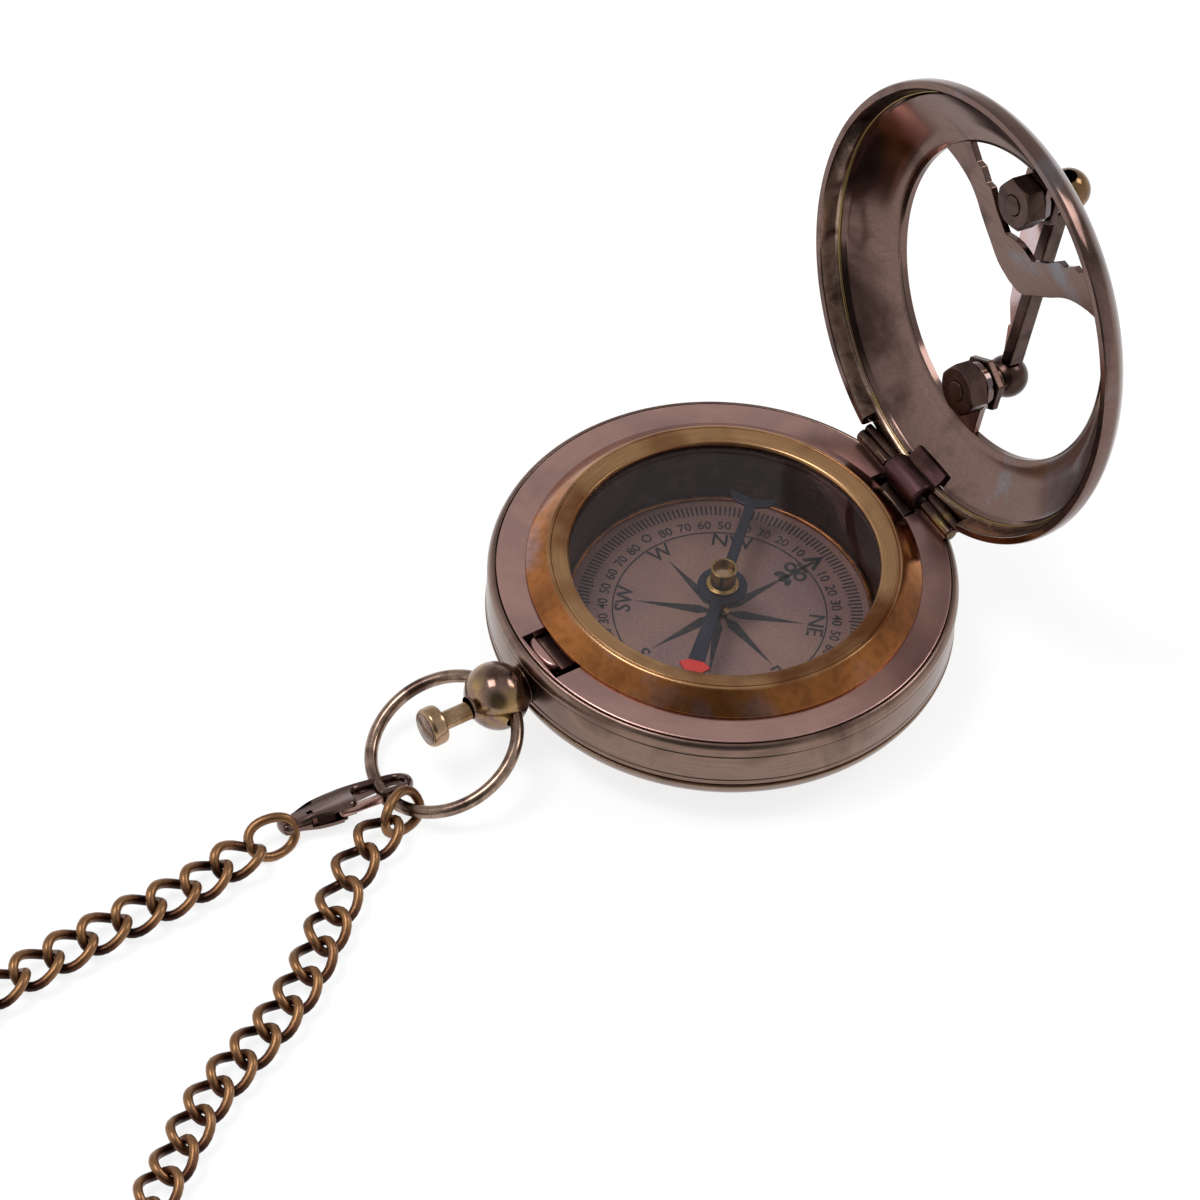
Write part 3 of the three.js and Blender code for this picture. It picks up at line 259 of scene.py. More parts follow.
class CompassColours(bpy.types.PropertyGroup):
    """Colours of the finishes."""

    plate: colour("Plate", "#c29a90", "Rose bronze of the top plate")
    plate_shade: colour("Plate shade", "#a48381", "Mauve cast on the top plate")
    wall: colour("Wall", "#866d64", "Brown bronze of the side wall")
    wall_shade: colour("Wall shade", "#5c4841", "Darker streaks on the side wall")
    lid: colour("Lid", "#745d56", "Dark bronze of the lid")
    lid_shade: colour("Lid shade", "#3e2e29", "Dark oxide on the lid")
    lid_blue: colour("Lid blue", "#77787e", "Temper blue on the lid")
    olive: colour("Olive", "#857246", "Olive brass of the lid's rim")
    brass: colour("Brass", "#ac8d58", "Rubbed brass")
    bezel: colour("Bezel", "#b98f66", "Golden brown of the bezel's top")
    copper: colour("Copper", "#a86b3c", "Copper on the bezel's cone")
    copper_shade: colour("Copper shade", "#7d4e2f", "Brown copper on the bezel's cone")
    bronze: colour("Bronze", "#8b6c49", "Polished bronze of the upper post")
    bronze_shade: colour("Bronze shade", "#59423a", "Brown oxide on the bronze")
    bail: colour("Bail", "#a68d7c", "Mauve bronze of the bail and the lid's lip")
    button: colour("Button", "#b09274", "Worn bronze of the push button")
    # The three chain colours are laid by each link's height: chain is a painted highlight on the tops with
    # rubbed wear, chain shade is painted shade on the undersides with dark oxide.
    chain: colour("Chain", "#8f6949", "Rubbed crowns of the chain")
    chain_mid: colour("Chain brown", "#5e3d2d", "Brown sides of the chain")
    chain_shade: colour("Chain shade", "#2f1e19", "Dark oxide between the chain's crowns")
    dark: colour("Dark", "#55423b", "Dark bronze of nuts, pins and springs")
    dark_shade: colour("Dark shade", "#3a2a25", "Oxide on nuts and knuckles")
    dial: colour("Dial", "#9f7a6f", "Printed dial")
    dial_shade: colour("Dial shade", "#84696a", "Mauve clouds on the dial")
    ink: colour("Ink", "#1d1d24", "Printing ink")
    needle: colour("Needle", "#3f4050", "Blued steel needle")
    red: colour("Red", "#d0271d", "Red paint on the needle's end")
    cup: colour("Cup", "#5e4243", "Dark bronze of the cup's wall")
    pale: colour("Pale", "#c9bdc4", "Polished face of the gnomon")
    leather: colour("Leather", "#4a3122", "Leather of the coil's tie")


class StageSettings(bpy.types.PropertyGroup):
    """Floor, lamps and surroundings."""

    floor_half: amount("Floor", 6.0, "Half side of the floor", unit="LENGTH")
    key_power: amount("Key lamp", 5.5, "Power of the key lamp", unit="POWER")
    fill_power: amount("Fill lamp", 3.0, "Power of the fill lamp", unit="POWER")


def sizes():
    """Sizes in the scene's properties."""
    return bpy.context.scene.compass_sizes


def colours():
    """Colours in the scene's properties."""
    return bpy.context.scene.compass_colours


def matrix(rotation=Matrix(), place=(0, 0, 0)):
    """Rotation followed by a move in millimetres, as an array."""
    return np.array(Matrix.Translation(place) @ rotation)


def turn(degrees, axis, about=(0, 0, 0)):
    """Turn about an axis through a point, as an array."""
    back = Matrix.Translation([-v for v in about])
    return np.array(Matrix.Translation(about) @ Matrix.Rotation(math.radians(degrees), 4, axis) @ back)


OPEN = matrix(place=LID_SHIFT) @ turn(-OPEN_ANGLE, "X", HINGE)
ALONG_X = turn(90, "Y")
ALONG_Y = turn(-90, "X")
LID_AXIS = (HINGE, (math.radians(-OPEN_ANGLE), 0, 0))


def moved(points, place):
    """Points carried by a 4 by 4 matrix."""
    if place is None:
        return points
    return points @ place[:3, :3].T + place[:3, 3]


def unit(vectors):
    """Vectors of length one."""
    return vectors / np.linalg.norm(vectors, axis=-1, keepdims=True)


def polar(radius, degrees):
    """Points of a plane at a radius and a bearing counted from +X towards +Y."""
    a = np.radians(degrees)
    return np.stack(np.broadcast_arrays(radius * np.cos(a), radius * np.sin(a)), axis=-1)


def smoothstep(low, high, value):
    """Zero below low, one above high, and an even s-curve between."""
    t = np.clip((value - low) / (high - low), 0, 1)
    return t * t * (3 - 2 * t)


def spline(points, steps, closed=False):
    """Smooth curve through points: cubics whose end slopes are half the distance of the neighbours."""
    p = np.asarray(points, float)
    if closed:
        p = np.concatenate([p[-1:], p, p[:2]])
    else:
        p = np.concatenate([2 * p[:1] - p[1:2], p, 2 * p[-1:] - p[-2:-1]])
    t = np.linspace(0, 1, steps, endpoint=False)[None, :, None]
    a, b, c, d = p[:-3, None], p[1:-2, None], p[2:-1, None], p[3:, None]
    curve = 0.5 * (2 * b + (c - a) * t + (2 * a - 5 * b + 4 * c - d) * t**2 + (3 * b - a - 3 * c + d) * t**3)
    curve = curve.reshape(-1, p.shape[1])
    return curve if closed else np.concatenate([curve, p[-2:-1]])


def rounded(corners, steps=5):
    """Outline whose corners (x, y, fillet) become parabolas that leave the sides at the fillet's distance."""
    c = np.asarray(corners, float)
    p, fillet = c[:, :2], c[:, 2:]
    before, after = np.roll(p, 1, axis=0) - p, np.roll(p, -1, axis=0) - p
    start = p + fillet * before / np.maximum(np.linalg.norm(before, axis=1, keepdims=True), 1e-9)
    end = p + fillet * after / np.maximum(np.linalg.norm(after, axis=1, keepdims=True), 1e-9)
    t = np.linspace(0, 1, steps)[None, :, None]
    curve = (1 - t) ** 2 * start[:, None] + 2 * t * (1 - t) * p[:, None] + t**2 * end[:, None]
    return curve.reshape(-1, 2)


def grid(points, along=False, around=False, caps=False):
    """Quads over a grid of points. A wrapped direction closes on itself, and caps close a tube's ends."""
    rows, columns = points.shape[:2]
    index = np.arange(rows * columns).reshape(rows, columns)
    down = np.roll(index, -1, axis=0)
    quads = np.stack([index, np.roll(index, -1, axis=1), np.roll(down, -1, axis=1), down], axis=-1)
    quads = quads[: rows if along else rows - 1, : columns if around else columns - 1]
    faces = quads.reshape(-1, 4).tolist()
    if caps:
        faces += [index[0].tolist(), index[-1].tolist()]
    return points.reshape(-1, 3), faces


def lathe(profile, steps=160, place=None, ring=True):
    """Turned piece: a profile of (radius, height) goes round Z as r cos a, r sin a, height."""
    r, z = np.asarray(profile, float).T[:2, :, None]
    a = np.linspace(0, 2 * np.pi, steps, endpoint=False)
    points = np.stack(np.broadcast_arrays(r * np.cos(a), r * np.sin(a), z), axis=-1)
    points, faces = grid(points, along=ring, around=True)
    return moved(points, place), faces


def rod(radius, low, high, steps, place=None):
    """Plain round rod along Z."""
    return lathe([(0, low), (radius, low), (radius, high), (0, high)], steps, place, ring=False)


def tube(inner, outer, low, high, steps, place=None):
    """Plain ring round Z."""
    return lathe([(inner, low), (outer, low), (outer, high), (inner, high)], steps, place)


def extrusion(outline, low, high, place=None):
    """Flat piece: an outline in the XY plane drawn up from low to high."""
    p = np.asarray(outline, float)
    levels = np.array([low, high])[:, None]
    points = np.stack(np.broadcast_arrays(p[None, :, 0], p[None, :, 1], levels), axis=-1)
    points, faces = grid(points, around=True, caps=True)
    return moved(points, place), faces


def pillow(outline, half, edge, place=None):
    """Flat piece with a soft edge: the outline drawn in by edge (1 - cos a) at the height half sin a."""
    p = np.asarray(outline, float)
    step = unit(np.roll(p, -1, axis=0) - np.roll(p, 1, axis=0))
    area = np.sum(p[:, 0] * np.roll(p[:, 1], -1) - np.roll(p[:, 0], -1) * p[:, 1])
    inward = np.sign(area) * np.stack([-step[:, 1], step[:, 0]], axis=-1)
    a = np.linspace(-np.pi / 2, np.pi / 2, 9)[:, None]
    flat = p[None] + edge * (1 - np.cos(a))[..., None] * inward[None]
    points = np.concatenate([flat, (np.sin(a) * np.broadcast_to(half, len(p)))[..., None]], axis=-1)
    points, faces = grid(points, around=True, caps=True)
    return moved(points, place), faces


def wire(path, radius, side, sides=20, closed=False):
    """Round wire: each path point carries a circle square to the path, p + r (cos a n + sin a b)."""
    p = np.asarray(path, float)
    if closed:
        tangent = unit(np.roll(p, -1, axis=0) - np.roll(p, 1, axis=0))
    else:
        tangent = unit(np.gradient(p, axis=0))
    side = np.broadcast_to(np.asarray(side, float), p.shape)
    normal = unit(side - np.sum(side * tangent, axis=-1, keepdims=True) * tangent)
    other = np.cross(tangent, normal)
    a = np.linspace(0, 2 * np.pi, sides, endpoint=False)[None, :, None]
    points = p[:, None] + radius * (np.cos(a) * normal[:, None] + np.sin(a) * other[:, None])
    return grid(points, along=closed, around=True, caps=not closed)


def block(x0, x1, y0, y1, z0, z1, place=None):
    """Box between two corners."""
    return extrusion([(x0, y0), (x1, y0), (x1, y1), (x0, y1)], z0, z1, place)


def round_bar(radius, half_length, centre, fillet, place=ALONG_X):
    """Short rod with rounded ends, turned about its own axis."""
    end = (radius, half_length, fillet)
    corners = [(0, -half_length, 0), (radius, -half_length, fillet), end, (0, half_length, 0)]
    points, faces = lathe(rounded(corners), 48, place, ring=False)
    return points + np.asarray(centre), faces


def solid(name, *shapes, bevel=0.0, merge=True, sharp=32):
    """Object made of one or more closed shapes, its faces turned outwards, with softened edges if asked."""
    points = np.concatenate([shape[0] for shape in shapes])
    starts = np.cumsum([0] + [len(shape[0]) for shape in shapes])
    faces = [[start + i for i in face] for start, shape in zip(starts, shapes) for face in shape[1]]
    mesh = bpy.data.meshes.new(name)
    mesh.from_pydata((points * MM).tolist(), [], faces)
    work = bmesh.new()
    work.from_mesh(mesh)
    if merge:
        bmesh.ops.remove_doubles(work, verts=work.verts, dist=0.002 * MM)
    bmesh.ops.recalc_face_normals(work, faces=work.faces)
    if len(shapes) == 1 and work.calc_volume(signed=True) < 0:
        bmesh.ops.reverse_faces(work, faces=work.faces)
    work.to_mesh(mesh)
    work.free()
    mesh.shade_smooth()
    piece = bpy.data.objects.new(name, mesh)
    bpy.context.collection.objects.link(piece)
    if bevel:
        soften(piece, bevel)
    else:
        mesh.set_sharp_from_angle(angle=math.radians(sharp))
    return piece


def soften(piece, width, segments=3):
    """Rounded edges of a width in millimetres."""
    edge = piece.modifiers.new("rounded_edges", "BEVEL")
    edge.width = width * MM
    edge.segments = segments
    edge.limit_method = "ANGLE"
    edge.angle_limit = math.radians(35)
    edge.harden_normals = True


def carve(piece, *shapes, keep=False, sharp=32):
    """Cuts closed shapes out of a piece, or keeps only what lies in them."""
    for shape in shapes:
        tool = solid("tool", shape)
        cut = piece.modifiers.new("cut", "BOOLEAN")
        cut.operation = "INTERSECT" if keep else "DIFFERENCE"
        cut.solver = "MANIFOLD"
        cut.object = tool
        seen = piece.evaluated_get(bpy.context.evaluated_depsgraph_get())
        mesh = bpy.data.meshes.new_from_object(seen)
        piece.modifiers.clear()
        piece.data = mesh
        bpy.data.objects.remove(tool)
    piece.data.shade_smooth()
    piece.data.set_sharp_from_angle(angle=math.radians(sharp))
    return piece


def dressed(piece, finish, body, *nodes):
    """Gives a piece its finish and the body it moves with, in place of CAD nodes."""
    piece.data.materials.clear()
    piece.data.materials.append(finish)
    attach(piece, body)
    if nodes:
        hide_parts(*nodes)
    return piece


def turned(name, corners, steps, finish, body, *nodes, place=None, ring=False, sharp=32):
    """Turned piece whose profile has rounded corners, in its finish."""
    piece = solid(name, lathe(rounded(corners), steps, place, ring), sharp=sharp)
    return dressed(piece, finish, body, *nodes)


def painted(node, finish):
    """Gives a shown CAD node its finish."""
    target = frame["nodes"][node]
    target.data.materials.clear()
    target.data.materials.append(finish)


def fill(tree, node, inputs):
    """Sets a node's inputs to values, or links them to other nodes' sockets."""
    for name, value in inputs.items():
        if isinstance(value, bpy.types.NodeSocket):
            tree.links.new(value, node.inputs[name])
        else:
            node.inputs[name].default_value = value


def add_node(tree, kind, inputs=None, **settings):
    """Adds a node with its settings, and its inputs as values or as links from other sockets."""
    node = tree.nodes.new(kind)
    for name, value in settings.items():
        setattr(node, name, value)
    fill(tree, node, inputs or {})
    return node


def rgba(value):
    """Colour with full cover."""
    return (*value[:3], 1.0)


def ramp(tree, factor, *stops):
    """Colour ramp with stops of (place, colour)."""
    node = add_node(tree, "ShaderNodeValToRGB", {"Fac": factor})
    while len(node.color_ramp.elements) < len(stops):
        node.color_ramp.elements.new(0.5)
    for element, (place, value) in zip(node.color_ramp.elements, stops):
        element.position = place
        element.color = rgba(value) if not isinstance(value, float) else (value, value, value, 1.0)
    return node.outputs["Color"]


def new_material(name):
    """Empty material with a Principled shader."""
    material = bpy.data.materials.new(name)
    material.use_nodes = True
    tree = material.node_tree
    return material, tree, tree.nodes["Principled BSDF"]


def own_axis(tree, place=None, rotation=(0, 0, 0)):
    """Object coordinates, brought to a piece's own axis where it isn't the frame's."""
    coordinates = add_node(tree, "ShaderNodeTexCoord").outputs["Object"]
    if place is None:
        return coordinates
    inputs = {"Vector": coordinates, "Location": [v * MM for v in place], "Rotation": rotation}
    return add_node(tree, "ShaderNodeMapping", inputs, vector_type="TEXTURE").outputs["Vector"]


def noise(tree, coordinates, size, detail, **more):
    """Noise whose features are a size in millimetres wide."""
    inputs = {"Vector": coordinates, "Scale": 1 / (size * MM), "Detail": detail, **more}
    return add_node(tree, "ShaderNodeTexNoise", inputs).outputs["Fac"]


def reckoned(tree, operation, *values, **settings):
    """Result of a mathematical operation on values or sockets."""
    inputs = dict(enumerate(values))
    return add_node(tree, "ShaderNodeMath", inputs, operation=operation, **settings).outputs[0]


def ranged(tree, value, ends, results, **settings):
    """Value carried from the range between two ends to the range between two results."""
    inputs = {"Value": value, "From Min": ends[0], "From Max": ends[1]}
    inputs.update({"To Min": results[0], "To Max": results[1]})
    return add_node(tree, "ShaderNodeMapRange", inputs, **settings).outputs["Result"]


def relief(tree, height, strength, depth):
    """Normal of a fine relief, its depth in millimetres."""
    inputs = {"Height": height, "Strength": strength, "Distance": depth * MM}
    return add_node(tree, "ShaderNodeBump", inputs).outputs["Normal"]


def blended(tree, factor, first, second, **settings):
    """Mix of two colours by a factor."""
    inputs = {0: factor, 6: first, 7: second}
    return add_node(tree, "ShaderNodeMix", inputs, data_type="RGBA", **settings).outputs[2]


def multiply(tree, first, second):
    """Product of two colours."""
    return blended(tree, 1.0, first, second, blend_type="MULTIPLY")


def turned_grain(tree, coordinates, line, run):
    """Fine lines that run round the axis: noise over radius, height and a drawn-out angle."""
    parts = add_node(tree, "ShaderNodeSeparateXYZ", {"Vector": coordinates}).outputs
    flat = add_node(tree, "ShaderNodeVectorMath", {0: coordinates, 1: (1, 1, 0)}, operation="MULTIPLY")
    radius = add_node(tree, "ShaderNodeVectorMath", {0: flat.outputs["Vector"]}, operation="LENGTH")
    angle = reckoned(tree, "ARCTAN2", parts["Y"], parts["X"])
    along = reckoned(tree, "MULTIPLY", angle, 20 * MM * line / run)
    inputs = {"X": radius.outputs["Value"], "Y": along, "Z": parts["Z"]}
    drawn = add_node(tree, "ShaderNodeCombineXYZ", inputs).outputs[0]
    return noise(tree, drawn, line, 2.0), radius.outputs["Value"]


def patina(
    name, stops, roughness, patch, grain=0.25, lines=None, rubbed=None, axis=(), spots=0.35, bump=0.02,
):
    """Patinated metal: large cloudy patches of colour, fine grain or turned lines, and rubbed crowns."""
    material, tree, shader = new_material(name)
    coordinates = own_axis(tree, *axis)
    cloud = noise(tree, coordinates, patch, 4.0, Roughness=0.55, Distortion=0.4)
    tone = ramp(tree, cloud, *stops)
    if lines:
        grit = turned_grain(tree, coordinates, *lines)[0]
    else:
        grit = noise(tree, coordinates, grain, 3.0)
    tone = multiply(tree, tone, ramp(tree, grit, (0.3, 1 - spots), (0.65, 1.0)))
    if rubbed is not None:
        worn = add_node(tree, "ShaderNodeNewGeometry").outputs["Pointiness"]
        tone = blended(tree, ramp(tree, worn, (0.5, 0.0), (0.58, 0.45)), tone, rgba(rubbed))
    fill(tree, shader, {
        "Metallic": 1.0,
        "Base Color": tone,
        "Roughness": ranged(tree, cloud, (0.3, 0.7), (roughness * 0.85, roughness * 1.2)),
        "Normal": relief(tree, grit, 0.25, bump),
    })
    return material


def rose_bronze():
    """Rose bronze plating of the top plate, latch and clasp lever: brushed satin, with slow mauve clouds."""
    c = colours()
    stops = ((0.32, c.plate_shade), (0.5, c.plate), (0.68, c.plate_shade))
    return patina("rose bronze, satin", stops, 0.26, 16, lines=(0.12, 6), spots=0.1, bump=0.008)


def brown_bronze():
    """Brown bronze plating on the drawn wall: satin streaks round the case, edges rubbed a little lighter."""
    c = colours()
    stops = ((0.3, c.wall_shade), (0.5, c.wall), (0.75, c.lid))
    return patina("brown bronze, satin", stops, 0.24, 9, lines=(0.2, 9), rubbed=c.olive, spots=0.2)


def lid_bronze():
    """Dark bronze of the pressed lid and the clasp: mirror gloss, oxide clouds and bluish grey clouds."""
    c = colours()
    stops = ((0.3, c.lid_shade), (0.46, c.lid), (0.58, c.lid), (0.72, c.lid_blue))
    grain = {"lines": (0.18, 5), "axis": LID_AXIS, "spots": 0.2, "bump": 0.006}
    return patina("dark bronze, pressed", stops, 0.13, 12, **grain)


def rim_bronze():
    """Ridge inside the lip: rubbed to olive brass, browner in places."""
    c = colours()
    stops = ((0.35, c.lid), (0.5, c.olive), (0.7, c.olive))
    return patina("olive bronze", stops, 0.2, 9, axis=LID_AXIS, spots=0.15)


def dark_bronze():
    """Dark bronze of nuts, pins and springs: half gloss, brown oxide in patches."""
    c = colours()
    return patina("dark bronze, machined", ((0.35, c.dark_shade), (0.6, c.dark)), 0.24, 3, spots=0.2)


def knuckle_bronze():
    """Bronze of the case's knuckles: olive brown, half gloss, dirty in patches."""
    c = colours()
    stops = ((0.35, c.dark_shade), (0.55, c.dark), (0.75, c.olive))
    return patina("olive bronze, machined", stops, 0.2, 3, spots=0.25)


def polished_bronze():
    """Polished bronze of the upper post: clear highlights over brown stains."""
    c = colours()
    stops = ((0.34, c.bronze_shade), (0.58, c.bronze))
    return patina("bronze, polished", stops, 0.16, 5, spots=0.15, bump=0.006)


def stained_bronze():
    """Polished bronze of the pendant's ball: golden brown where rubbed, mauve brown in the stains."""
    c = colours()
    stops = ((0.34, c.bronze_shade), (0.48, c.wall), (0.68, c.brass))
    return patina("bronze, stained", stops, 0.17, 4, spots=0.2, bump=0.006)


def mauve_bronze():
    """Mauve-brown bronze of the bail, the lid's lip and the button's face: glossy, with darker stains."""
    c = colours()
    stops = ((0.32, c.bronze_shade), (0.5, c.bail), (0.66, c.wall_shade))
    return patina("mauve bronze, polished", stops, 0.2, 4, spots=0.2, bump=0.006)


def pale_bronze():
    """Polished face of the gnomon's plate: pale lilac, almost a mirror."""
    c = colours()
    stops = ((0.35, c.pale), (0.65, c.plate))
    return patina("bronze, mirror polished", stops, 0.12, 6, spots=0.06, bump=0.004)


def handled_bronze():
    """Bronze of the push button and the cap's jewel: worn pale and warm, brown where it is not touched."""
    c = colours()
    return patina("bronze, handled", ((0.35, c.bronze), (0.55, c.button)), 0.2, 3, spots=0.15, bump=0.008)


def brass():
    """Bright brass of the needle's cap and pivot: warm, lightly handled."""
    c = colours()
    return patina("brass, handled", ((0.35, c.bronze), (0.6, c.brass)), 0.2, 3, spots=0.15, bump=0.008)


def copper():
    """Copper ring round the dial."""
    c = colours()
    return patina("copper, dull", ((0.35, c.copper_shade), (0.6, c.copper)), 0.3, 3)


def cup_bronze():
    """Blackened bronze of the cup's wall and the lid's barrel: dark, half matt, behind what is bright."""
    c = colours()
    return patina("bronze, blackened", ((0.35, c.dark_shade), (0.6, c.cup)), 0.4, 5, lines=(0.15, 5))


def bezel_brass():
    """Brass bezel: golden-brown lines on its top, worn to smooth copper down the cone."""
    c = colours()
    material, tree, shader = new_material("brass worn to copper")
    coordinates = own_axis(tree)
    lines, radius = turned_grain(tree, coordinates, 0.09, 9)
    cloud = noise(tree, coordinates, 11, 3.0)
    speckle = noise(tree, coordinates, 0.8, 4.0)
    shoulder = ((BEZEL_TOP_RADIUS - 0.1) * MM, (BEZEL_TOP_RADIUS + 0.1) * MM)
    cone = ranged(tree, radius, shoulder, (0.0, 1.0))
    worn = ramp(tree, cloud, (0.36, c.copper_shade), (0.55, c.copper), (0.7, c.plate_shade))
    worn = multiply(tree, worn, ramp(tree, speckle, (0.35, 0.8), (0.55, 1.0)))
    top = ramp(tree, cloud, (0.35, c.copper_shade), (0.55, c.bezel))
    top = multiply(tree, top, ramp(tree, lines, (0.3, 0.7), (0.65, 1.0)))
    fill(tree, shader, {
        "Metallic": 1.0,
        "Base Color": blended(tree, cone, top, worn),
        "Roughness": ranged(tree, cone, (0.0, 1.0), (0.24, 0.15)),
        "Normal": relief(tree, lines, 0.2, 0.008),
    })
    return material


def chain_bronze():
    """Bronze chain: half matt brown, darker towards each link's underside as painted shade with dark oxide,
    lighter on top as a painted highlight with crowns rubbed to a khaki brass.
    """
    c = colours()
    material, tree, shader = new_material("bronze chain, rubbed")
    # Each link's top is painted lighter and its underside darker: painted highlight and painted shade, with
    # rubbed wear and oxide.
    shade_and_wear_factor = add_node(tree, "ShaderNodeAttribute", attribute_name="crown").outputs["Fac"]
    cloud = reckoned(tree, "SUBTRACT", noise(tree, own_axis(tree), 2.5, 4.0), 0.5)
    # worn here carries the painted shade and painted highlight as well as the wear.
    worn = reckoned(tree, "ADD", shade_and_wear_factor, cloud)
    tone = ramp(tree, worn, (0.15, c.chain_shade), (0.5, c.chain_mid), (0.92, c.chain))
    fill(tree, shader, {"Metallic": 1.0, "Roughness": 0.36, "Base Color": tone})
    return material


def dial_print():
    """Printed satin dial: brown-mauve with a fine speckle."""
    c = colours()
    material, tree, shader = new_material("printed dial, satin")
    coordinates = own_axis(tree)
    cloud = ramp(tree, noise(tree, coordinates, 7, 5.0), (0.35, 0.0), (0.65, 0.8))
    speckle = ramp(tree, noise(tree, coordinates, 0.3, 2.0), (0.35, 0.82), (0.6, 1.0))
    tone = multiply(tree, blended(tree, cloud, rgba(c.dial), rgba(c.dial_shade)), speckle)
    fill(tree, shader, {"Metallic": 0.35, "Roughness": 0.5, "Base Color": tone})
    return material


def ink():
    """Printing ink: blue-black, matt, a little thin in places."""
    c = colours()
    material, tree, shader = new_material("printing ink")
    thin = ramp(tree, noise(tree, own_axis(tree), 0.8, 2.0), (0.5, 0.0), (0.75, 0.5))
    tone = blended(tree, thin, rgba(c.ink), rgba(c.cup))
    fill(tree, shader, {"Roughness": 0.55, "Base Color": tone})
    return material


def needle_steel():
    """Blued steel needle: near black, half gloss, its north end painted red."""
    c = colours()
    material, tree, shader = new_material("blued steel, red end")
    coordinates = own_axis(tree, (0, 0, 0), (0, 0, sizes().needle_turn))
    along = add_node(tree, "ShaderNodeSeparateXYZ", {"Vector": coordinates}).outputs["X"]
    paint = reckoned(tree, "GREATER_THAN", along, RED_FROM * MM)
    steel = blended(tree, noise(tree, coordinates, 2, 3.0), rgba(c.needle), rgba(c.ink))
    fill(tree, shader, {
        "Metallic": ranged(tree, paint, (0.0, 1.0), (0.8, 0.0)),
        "Roughness": 0.4,
        "Base Color": blended(tree, paint, steel, rgba(c.red)),
    })
    return material


def clear_glass():
    """Flat thin glass: clear face on, a glare that grows as the slant's fifth power, a few specks of dust."""
    material, tree, shader = new_material("flat glass, dusty")
    specks = ramp(tree, noise(tree, own_axis(tree), 0.45, 1.0), (0.73, 0.0), (0.82, 0.16))
    slant = add_node(tree, "ShaderNodeLayerWeight", {"Blend": 0.5}).outputs["Facing"]
    glare = reckoned(tree, "MULTIPLY_ADD", reckoned(tree, "POWER", slant, 5.0), 0.96, 0.022)
    cover = reckoned(tree, "ADD", glare, specks, use_clamp=True)
    fill(tree, shader, {
        "Base Color": (0.96, 0.9, 0.9, 1), "Metallic": 1.0, "Roughness": 0.03, "Alpha": cover,
    })
    return material


def leather():
    """Leather of the tie: dark brown, matt, with a fine grain."""
    c = colours()
    material, tree, shader = new_material("leather, dark")
    inputs = {"Vector": own_axis(tree), "Scale": 1 / (0.35 * MM)}
    grain = add_node(tree, "ShaderNodeTexVoronoi", inputs).outputs["Distance"]
    fill(tree, shader, {
        "Roughness": 0.65,
        "Base Color": blended(tree, grain, rgba(c.leather), rgba(c.ink)),
        "Normal": relief(tree, grain, 0.4, 0.05),
    })
    return material


def rubber():
    """Gasket rubber: black and matt."""
    c = colours()
    material, tree, shader = new_material("gasket rubber")
    tone = blended(tree, noise(tree, own_axis(tree), 0.5, 2.0), rgba(c.ink), rgba(c.cup))
    fill(tree, shader, {"Roughness": 0.7, "Base Color": tone})
    return material


BAIL_TURN = turn(BAIL_YAW, "Z") @ turn(BAIL_TILT, "X") @ turn(BAIL_ROLL, "Y")
BAIL_END = PENDANT_RADIUS - 0.1
BAIL_CENTRE = math.sqrt(BAIL_RADIUS**2 - BAIL_END**2)


def on_bail(x, q):
    """Point in the bail's plane: x across and q along it from the pendant, rolled, sloped down and yawed."""
    x, q = np.broadcast_arrays(np.asarray(x, float), np.asarray(q, float))
    return moved(np.stack([x, -q, np.zeros_like(x)], axis=-1), BAIL_TURN) + BAIL_SEAT


def on_wire(x):
    """Point of the bail's far arc at a distance x across it."""
    return on_bail(x, BAIL_CENTRE + math.sqrt(BAIL_RADIUS**2 - x**2))


BAIL_NORMAL = moved(np.array((0, 0, -1.0)), BAIL_TURN)
CLASP_ALONG = np.array((math.sin(CLASP_YAW), -math.cos(CLASP_YAW), 0))
CLASP_SIDE = np.array((math.cos(CLASP_YAW), math.sin(CLASP_YAW), 0))
CLASP = np.identity(4)
CLASP[:3, 0] = CLASP_ALONG
CLASP[:3, 1] = math.sin(CLASP_LEAN) * CLASP_SIDE + (0, 0, math.cos(CLASP_LEAN))
CLASP[:3, 2] = -math.cos(CLASP_LEAN) * CLASP_SIDE + (0, 0, math.sin(CLASP_LEAN))
CLASP[:3, 3] = CLASP_PLACE
LINK_SEAT = on_wire(END_LINK_X)
LINK_ALONG = unit(np.array((0.34, -0.94, 0.02)))


def link_shape(start_twist, end_twist, steps=30, sides=10):
    """One curb link: a wire round an oval, whose plane turns evenly about the long axis from end to end."""
    s = sizes()
    width, wire_radius = s.link_width / MM, s.link_wire / MM / 2
    half_long = (s.link_pitch / MM + 2 * wire_radius) / 2
    half_wide = width / 2 - wire_radius
    t = np.linspace(0, 2 * np.pi, steps, endpoint=False)
    full = 0.88
    x = half_long * np.sign(np.cos(t)) * np.abs(np.cos(t)) ** full
    y = half_wide * np.sign(np.sin(t)) * np.abs(np.sin(t)) ** full
    share = (x / half_long + 1) / 2
    twist = np.radians(start_twist + (end_twist - start_twist) * share)
    path = np.stack([x, y * np.cos(twist), y * np.sin(twist)], axis=-1)
    side = np.stack([np.zeros_like(x), -np.sin(twist), np.cos(twist)], axis=-1)
    return wire(path, wire_radius, side, sides, closed=True)


def along_frame(place, along, roll):
    """Matrix whose X runs along a direction, turned about it by a roll in degrees from flat."""
    along = unit(np.asarray(along, float))
    side = unit(np.cross((0, 0, 1), along))
    result = np.identity(4)
    result[:3, 0], result[:3, 1], result[:3, 2] = along, side, np.cross(along, side)
    result[:3, 3] = place
    return result @ turn(roll, "X")


